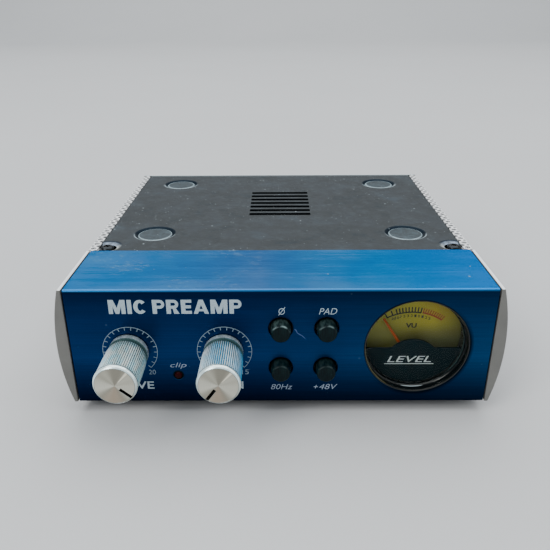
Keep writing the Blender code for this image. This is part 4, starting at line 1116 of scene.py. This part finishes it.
def title():
    """The plain title "MIC PREAMP" in one line of block letters."""
    left, right, bottom, gap, space = -52.2, -11.8, 32.4, 0.6, 2.3
    shapes, along, placed = title_letters(4.75), 0.0, []
    for letter in "MIC PREAMP":
        if letter == " ":
            along += space - gap
        else:
            placed.append((along, shapes[letter]))
            along += shapes[letter][0] + gap
    squeeze = (right - left) / (along - gap)

    def prisms(index, front, back):
        def build(bm):
            for start, shape in placed:
                if shape[index]:
                    outline = [(left + (start + x) * squeeze, bottom + z) for x, z in shape[index]]
                    prism(bm, outline, "Y", front, back)
        return build

    piece("title_print", prisms(1, PRINT_FRONT, PRINT_BACK), PRINT, cuts=[prisms(2, -1, 1)], weighted=False)


# ------------------------------------------------------------------ level meter
DIAL_Y, MASK_Y, MASK_TOP = 8.0, 4.6, 17.4


def meter():
    at, drop = on_front(METER), NEEDLE.z - METER.z
    gasket = [(15.85, 1.5), (15.85, 0.45), (15.92, 0.15), (16.05, -0.06), (16.22, -0.12), (16.38, -0.05),
              (16.45, 0.15), (16.45, 2.2), (15.85, 2.2)]
    rim = [(15.2, 3.0), (15.2, 2.85), (15.35, 2.55), (15.6, 2.15), (15.8, 1.9), (16.1, 1.8), (16.1, 3.0)]
    wall = [(16.2, 3.2), (15.7, 3.2), (15.7, 7.95), (16.2, 7.95)]
    window = [(0, 1.02), (4, 1.05), (8, 1.16), (11, 1.3), (13.5, 1.46), (15.2, 1.62), (15.9, 1.85),
              (15.9, 2.4), (0, 2.4)]
    dial = [(0, DIAL_Y), (15.9, DIAL_Y), (16.0, DIAL_Y + 0.1), (16.0, DIAL_Y + 0.6), (0, DIAL_Y + 0.6)]
    turned("meter_gasket", gasket, METER_RING, 128, at=at)
    turned("meter_rim", rim, METER_RING, 128, at=at)
    turned("meter_inner_wall", wall, METER_WALL, 96, at=at)
    turned("meter_window", window, WINDOW, 96, stands_for=["meter_lens"], at=at)
    turned("dial_plate", dial, CARD, 96, stands_for=["meter_dial"], at=at)
    meter_print()

    def mask(bm):
        radius, hump, line = 15.9, 9.0, MASK_TOP - METER.z
        low = math.degrees(math.asin(-line / radius))
        rise = math.degrees(math.asin((line - drop) / hump))
        outline = corner((0, 0), radius, 180 + low, 360 - low, 64)
        prism(bm, outline + corner((0, drop), hump, rise, 180 - rise, 32), "Y", MASK_Y, MASK_Y + 0.6)
        soften(bm, 0.12, 2, 60)

    def underline(bm):
        box(bm, (33.6, 49.6), (MASK_Y - 0.02, MASK_Y + 0.01), (11.35, 11.6))

    piece("mask_plate", mask, MASK, stands_for=["meter_mask"], at=at)
    lettering("mask_print", "LEVEL", (41.6, 13.2), (14.2, 2.3), LOGO, y=MASK_Y, slant=LEAN)
    piece("mask_underline", underline, LOGO, weighted=False)
    needle()


def meter_print():
    """The dial's print: a black and a red arc with ticks, small numbers and the unit."""
    centre, radius = (NEEDLE.x - 0.5, NEEDLE.z + 0.2), 16.8
    front, back = DIAL_Y + PRINT_FRONT, DIAL_Y + PRINT_BACK
    left, black_end, red_start, right = -28.5, 9.6, 11.0, 34.5
    black = [left + 0.5, -21.5] + [-16.5 + 3.2 * step for step in range(9)]
    red = [red_start + 0.6 + 2.5 * step for step in range(10)]

    def ticks(angles, long, width, shift):
        def build(bm):
            for angle in angles:
                tick(bm, centre, angle, radius, radius + long, width, front - shift, back)
        return build

    piece("dial_arc_black", lambda bm: arc_band(bm, centre, radius, 0.44, left, black_end, front, back),
          DIAL_BLACK, weighted=False)
    piece("dial_arc_red", lambda bm: arc_band(bm, centre, radius + 0.1, 0.5, red_start, right, front, back),
          DIAL_RED, weighted=False)
    piece("dial_ticks_black", ticks(black, 1.85, 0.42, 0.002), DIAL_BLACK, weighted=False)
    piece("dial_ticks_red", ticks(red, 1.75, 0.36, 0.004), DIAL_RED, weighted=False)
    for index, text in enumerate(("20", "10", "7", "5", "3", "2", "1", "0", "1", "2", "3")):
        angle, reach = math.radians(-22 + 4.3 * index), radius - 1.25
        spot = (centre[0] + reach * math.sin(angle), centre[1] + reach * math.cos(angle))
        lettering(f"dial_number_{index}", text, spot, (0.66 * len(text), 0.9), DIAL_BLACK, y=DIAL_Y,
                  bold=0.015)
    lettering("dial_unit", "VU", (42.0, 23.7), (3.5, 1.7), DIAL_BLACK, y=DIAL_Y, bold=0.035)


def needle():
    """The pointer and its hub, drawn in their rest place."""
    swing = JOINTS["needle_swing"]["range_deg"]
    lean = -(max(swing) - min(swing)) / 2
    hub = [(0, 5.9), (1.3, 5.9), (1.6, 6.1), (1.6, 7.2), (0.5, 7.2), (0.5, 9.0), (0, 9.0)]

    def blade(bm):
        side = [(0.5, -4.5), (0.48, 0), (0.42, 10), (0.34, 18.4)]
        prism(bm, [(-0.5, -4.5)] + side + [(-x, z) for x, z in side[:0:-1]], "Y", 6.25, 6.5)
        soften(bm, 0.03, 1, 60)

    piece("needle_blade", blade, NEEDLE_ORANGE, "needle", ["meter_needle"], at=on_front(NEEDLE), turn=lean)
    turned("needle_hub", hub, BLACK, 32, body="needle", at=on_front(NEEDLE), turn=lean)


# ------------------------------------------------------------------ rear panel
def flange(name, node, notch):
    """A die-cast panel connector: flange with round corners, turned mouth and two screws."""
    face, centre = BODY_DEPTH + 2.2, case_middle(node).x
    screw_x, screw_z = 9.6, 12.2

    def plate(bm):
        prism(bm, rounded(13, 15.5, 2.6, 8), "Y", BODY_DEPTH + 0.05, face)
        soften(bm, 0.35, 3, 50)

    def barrel(bm):
        lathe(bm, [(0, 112), (11.7, 112), (11.7, BODY_DEPTH + 1), (0, BODY_DEPTH + 1)], "Y", 64)

    def bore(bm):
        mouth = [(9.5, face - 0.5), (9.9, face - 0.1), (10.3, face + 0.3), (0, face + 0.3)]
        lathe(bm, [(0, 115.5), (9.5, 115.5)] + mouth, "Y", 96)

    def seats(bm):
        for side, _ in SIDES:
            lathe(bm, [(0, face - 0.8), (1.9, face - 0.8), (2.3, face + 0.5), (0, face + 0.5)], "Y", 32,
                  (side * screw_x, 0, -side * screw_z))

    cuts = [bore, seats]
    if notch:
        cuts.append(lambda bm: box(bm, (-3.9, 3.9), (126.7, 140), (10.4, 14.2)))
    piece(name, plate, NICKEL, at=(centre, 0, REAR_Z), joins=[barrel], cuts=cuts, stands_for=[node])
    for side, way in SIDES:
        at = (centre + side * screw_x, face - 0.75, REAR_Z - side * screw_z)
        cross_head_screw(f"{name}_screw_{way}", at, SCREW_BLACK, "Y", 1.75)


def rear_jack(name, node):
    """A quarter-inch jack's threaded bushing with a chamfered nut."""
    at, end = on_front(case_middle(f"{node}_nut")), case_box(node)[1].y
    thread = [(3.3, 130.0), (4.7, 130.0)]
    y = BODY_DEPTH - 0.5
    while y < end - 0.6:
        thread += [(4.7, y), (4.52, y + 0.2)]
        y += 0.4
    thread += [(4.6, end - 0.35), (4.35, end), (3.6, end), (3.3, end - 0.3)]
    turned(f"{name}_bushing", thread, NICKEL, at=at)
    front, back, flat, hole = BODY_DEPTH + 0.05, BODY_DEPTH + 2.4, 6.0, 4.95
    chamfer = [(0, front - 1), (9, front - 1), (9, back - 0.6), (6.1, back), (6.1, back + 1), (0, back + 1)]
    bore = [(0, front - 1), (hole, front - 1), (hole, back - 0.3), (hole + 0.4, back + 0.1),
            (hole + 0.4, back + 1), (0, back + 1)]
    hexagon = corner((0, 0), flat / math.cos(math.pi / 6), 0, 300, 5)
    nut = blank(f"{name}_hex_nut", lambda bm: prism(bm, hexagon, "Y", front, back), at)
    carve(nut, lambda bm: lathe(bm, chamfer, "Y", 64), "INTERSECT")
    carve(nut, lambda bm: lathe(bm, bore, "Y", 48))
    dress(nut, f"{name}_hex_nut", NICKEL, stands_for=[f"{node}_nut"])


def rear_labels():
    upper, lower = 37.9, 32.6
    labels = (("mic_in", "MIC IN", -44.0, upper, 8.5), ("instrument", "INST", -23.0, lower, 5.5),
              ("line_out", "LINE OUT", -2.0, upper, 11.5), ("output", "OUT", 20.0, lower, 4.4),
              ("supply", "16V AC", 34.2, lower, 6.4), ("power", "POWER", 49.0, lower, 8.2))
    for name, text, x, z, width in labels:
        lettering(f"{name}_rear_print", text, (x, z), (width, 1.8), PRINT, y=BODY_DEPTH, bold=0.012, rear=True)


def power_parts():
    at, face = (case_middle("power_inlet").x, 0, REAR_Z), case_box("power_inlet")[1].y
    lip = [(3.05, face - 0.02), (3.35, face + 0.12), (4.0, face + 0.12), (4.2, face - 0.02)]
    pin = [(0, face - 9.5), (0.95, face - 9.5), (0.95, face - 2.4), (0.7, face - 2.1), (0, face - 2.0)]
    turned("inlet_lip", lip, GLOSS_BLACK, at=at)
    turned("inlet_pin", pin, NICKEL, 24, at=at)

    pivot, tilts = joint_place("rocker_tilt"), JOINTS["rocker_tilt"]["range_deg"]
    tilt = -math.radians(tilts[1] - tilts[0]) / 2

    def rocker(bm):
        upper = [(-5.5, 2), (1, 7.6), (5.3, 7.5), (5.6, 7.2), (5.1, 5.4), (4.6, 3.4), (4.3, 1.6), (4.2, 0)]
        prism(bm, upper + [(y, -z) for y, z in upper[-2::-1]], "X", -4.85, 4.85)
        soften(bm, 0.25, 3, 50)

    obj = blank("rocker", rocker, pivot)
    obj.rotation_euler = (tilt, 0, 0)
    dress(obj, "rocker_key", BLACK, "rocker", ["power_rocker"])
    marks = ((1, "on", lambda bm: box(bm, (-0.2, 0.2), (0, 0.04), (-1.1, 1.1))),
             (-1, "off", lambda bm: lathe(bm, [(0.75, 0), (1.1, 0), (1.1, 0.04), (0.75, 0.04)], "Y", 32)))
    for side, mark, build in marks:
        made = blank(mark, build)
        made.matrix_world = (Matrix.Translation(CASE + pivot * MM) @ Matrix.Rotation(tilt, 4, "X")
                             @ Matrix.Translation(Vector((0, 4.92, side * 4.6)) * MM)
                             @ Matrix.Rotation(math.radians(13.5 * side), 4, "X"))
        dress(made, f"rocker_mark_{mark}", PRINT, "rocker", weighted=False)


# ------------------------------------------------------------------ carried-over nodes
def finish_nodes():
    """Gives every CAD node that stays visible its own procedural finish."""
    choices = (
        (INNER_STEEL, ("chassis_tray",)), (rear_paint(), ("rear_panel",)),
        (DARK_STEEL, ("drive_pot", "gain_pot", "meter_movement", "tube_plates", "regulator_heatsink")),
        (NICKEL, ("drive_shaft", "gain_shaft", "drive_pot_nut", "gain_pot_nut", "mic_in_latch")),
        (BOARD, ("front_board", "main_board")), (RIBBON, ("ribbon_cable",)),
        (WINDOW, ("tube_envelope", "tube_base")), (GLOSS_BLACK, ("reservoir_capacitor", "power_switch")),
        (BLACK, ("meter_housing", "tube_socket", "mic_in_insert", "line_out_insert", "instrument_jack",
                 "output_jack", "power_inlet", *(f"{name}_switch" for name in BUTTONS))),
    )
    for finish, names in choices:
        for name in names:
            mesh = frame["nodes"][name].data
            mesh.materials.clear()
            mesh.materials.append(finish)


# ------------------------------------------------------------------ stage, lights, camera
def stage():
    """A pale floor that curves up into a backdrop behind the object. Its lengths are in metres."""
    bm = bmesh.new()
    start, bend, height = 1.9, 0.9, 3.0
    outline = [(-3.0, 0.0)] + corner((start, bend), bend, -90, 0, 12) + [(start + bend, height)]
    rows = [[bm.verts.new((x, y, z)) for y, z in outline] for x in (-4.0, 4.0)]
    for step in range(len(outline) - 1):
        bm.faces.new((rows[0][step], rows[1][step], rows[1][step + 1], rows[0][step + 1]))
    floor = linked("floor", mesh_of(bm, "floor"), (0, 0, 0))
    floor.data.shade_smooth()
    floor.data.materials.append(floor_finish((0.52, 0.525, 0.53)))


def soft_light(name, place, target, size, power, tint=(1, 1, 1)):
    data = bpy.data.lights.new(name, "AREA")
    data.shape, data.size, data.size_y = "RECTANGLE", *size
    data.energy, data.color = power, tint
    obj = linked(name, data, place)
    obj.rotation_euler = (Vector(target) - Vector(place)).to_track_quat("-Z", "Y").to_euler()


def lights():
    soft_light("ceiling", (0, 0.7, 1.9), (0, 0.7, 0.0), (3.2, 3.2), 78, (0.97, 0.99, 1.0))
    soft_light("front_left", (-0.75, -0.8, 0.85), (0, 0, 0.02), (0.6, 0.6), 9, (1.0, 0.99, 0.96))
    soft_light("right", (1.0, -0.2, 0.5), (0, 0, 0.02), (0.6, 0.8), 3)
    world = bpy.data.worlds.new("studio")
    bpy.context.scene.world = world
    world.use_nodes = True
    sky = world.node_tree.nodes["Background"].inputs
    sky["Color"].default_value, sky["Strength"].default_value = (0.8, 0.86, 0.92, 1), 0.6


def camera():
    data = bpy.data.cameras.new("camera")
    data.sensor_width, data.sensor_height, data.lens = 36.0, 36.0, 39.6
    data.clip_start, data.clip_end = 0.01, 20
    obj = linked("camera", data)
    forward, up = Vector((-0.007, 0.9115, -0.4113)).normalized(), Vector((0.003, 0.4113, 0.9115))
    right = forward.cross(up).normalized()
    turn = Matrix((right, right.cross(forward), -forward)).transposed().to_4x4()
    obj.matrix_world = Matrix.Translation(CASE + Vector((-0.36, -162.77, 118.68)) * MM) @ turn
    bpy.context.scene.camera = obj


def main():
    camera()
    front_bezel()
    top_cover()
    for side, name in SIDES:
        for build in (cheek, side_panel, screws, feet):
            build(side, name)
    for name, rest in KNOB_RESTS.items():
        knob(name, rest)
    for name in BUTTONS:
        button(name)
    lamp()
    front_labels()
    meter()
    flange("mic_in_flange", "mic_in_shell", True)
    flange("line_out_flange", "line_out_shell", False)
    rear_jack("instrument", "instrument_jack")
    rear_jack("output", "output_jack")
    power_parts()
    rear_labels()
    finish_nodes()
    stage()
    lights()


main()
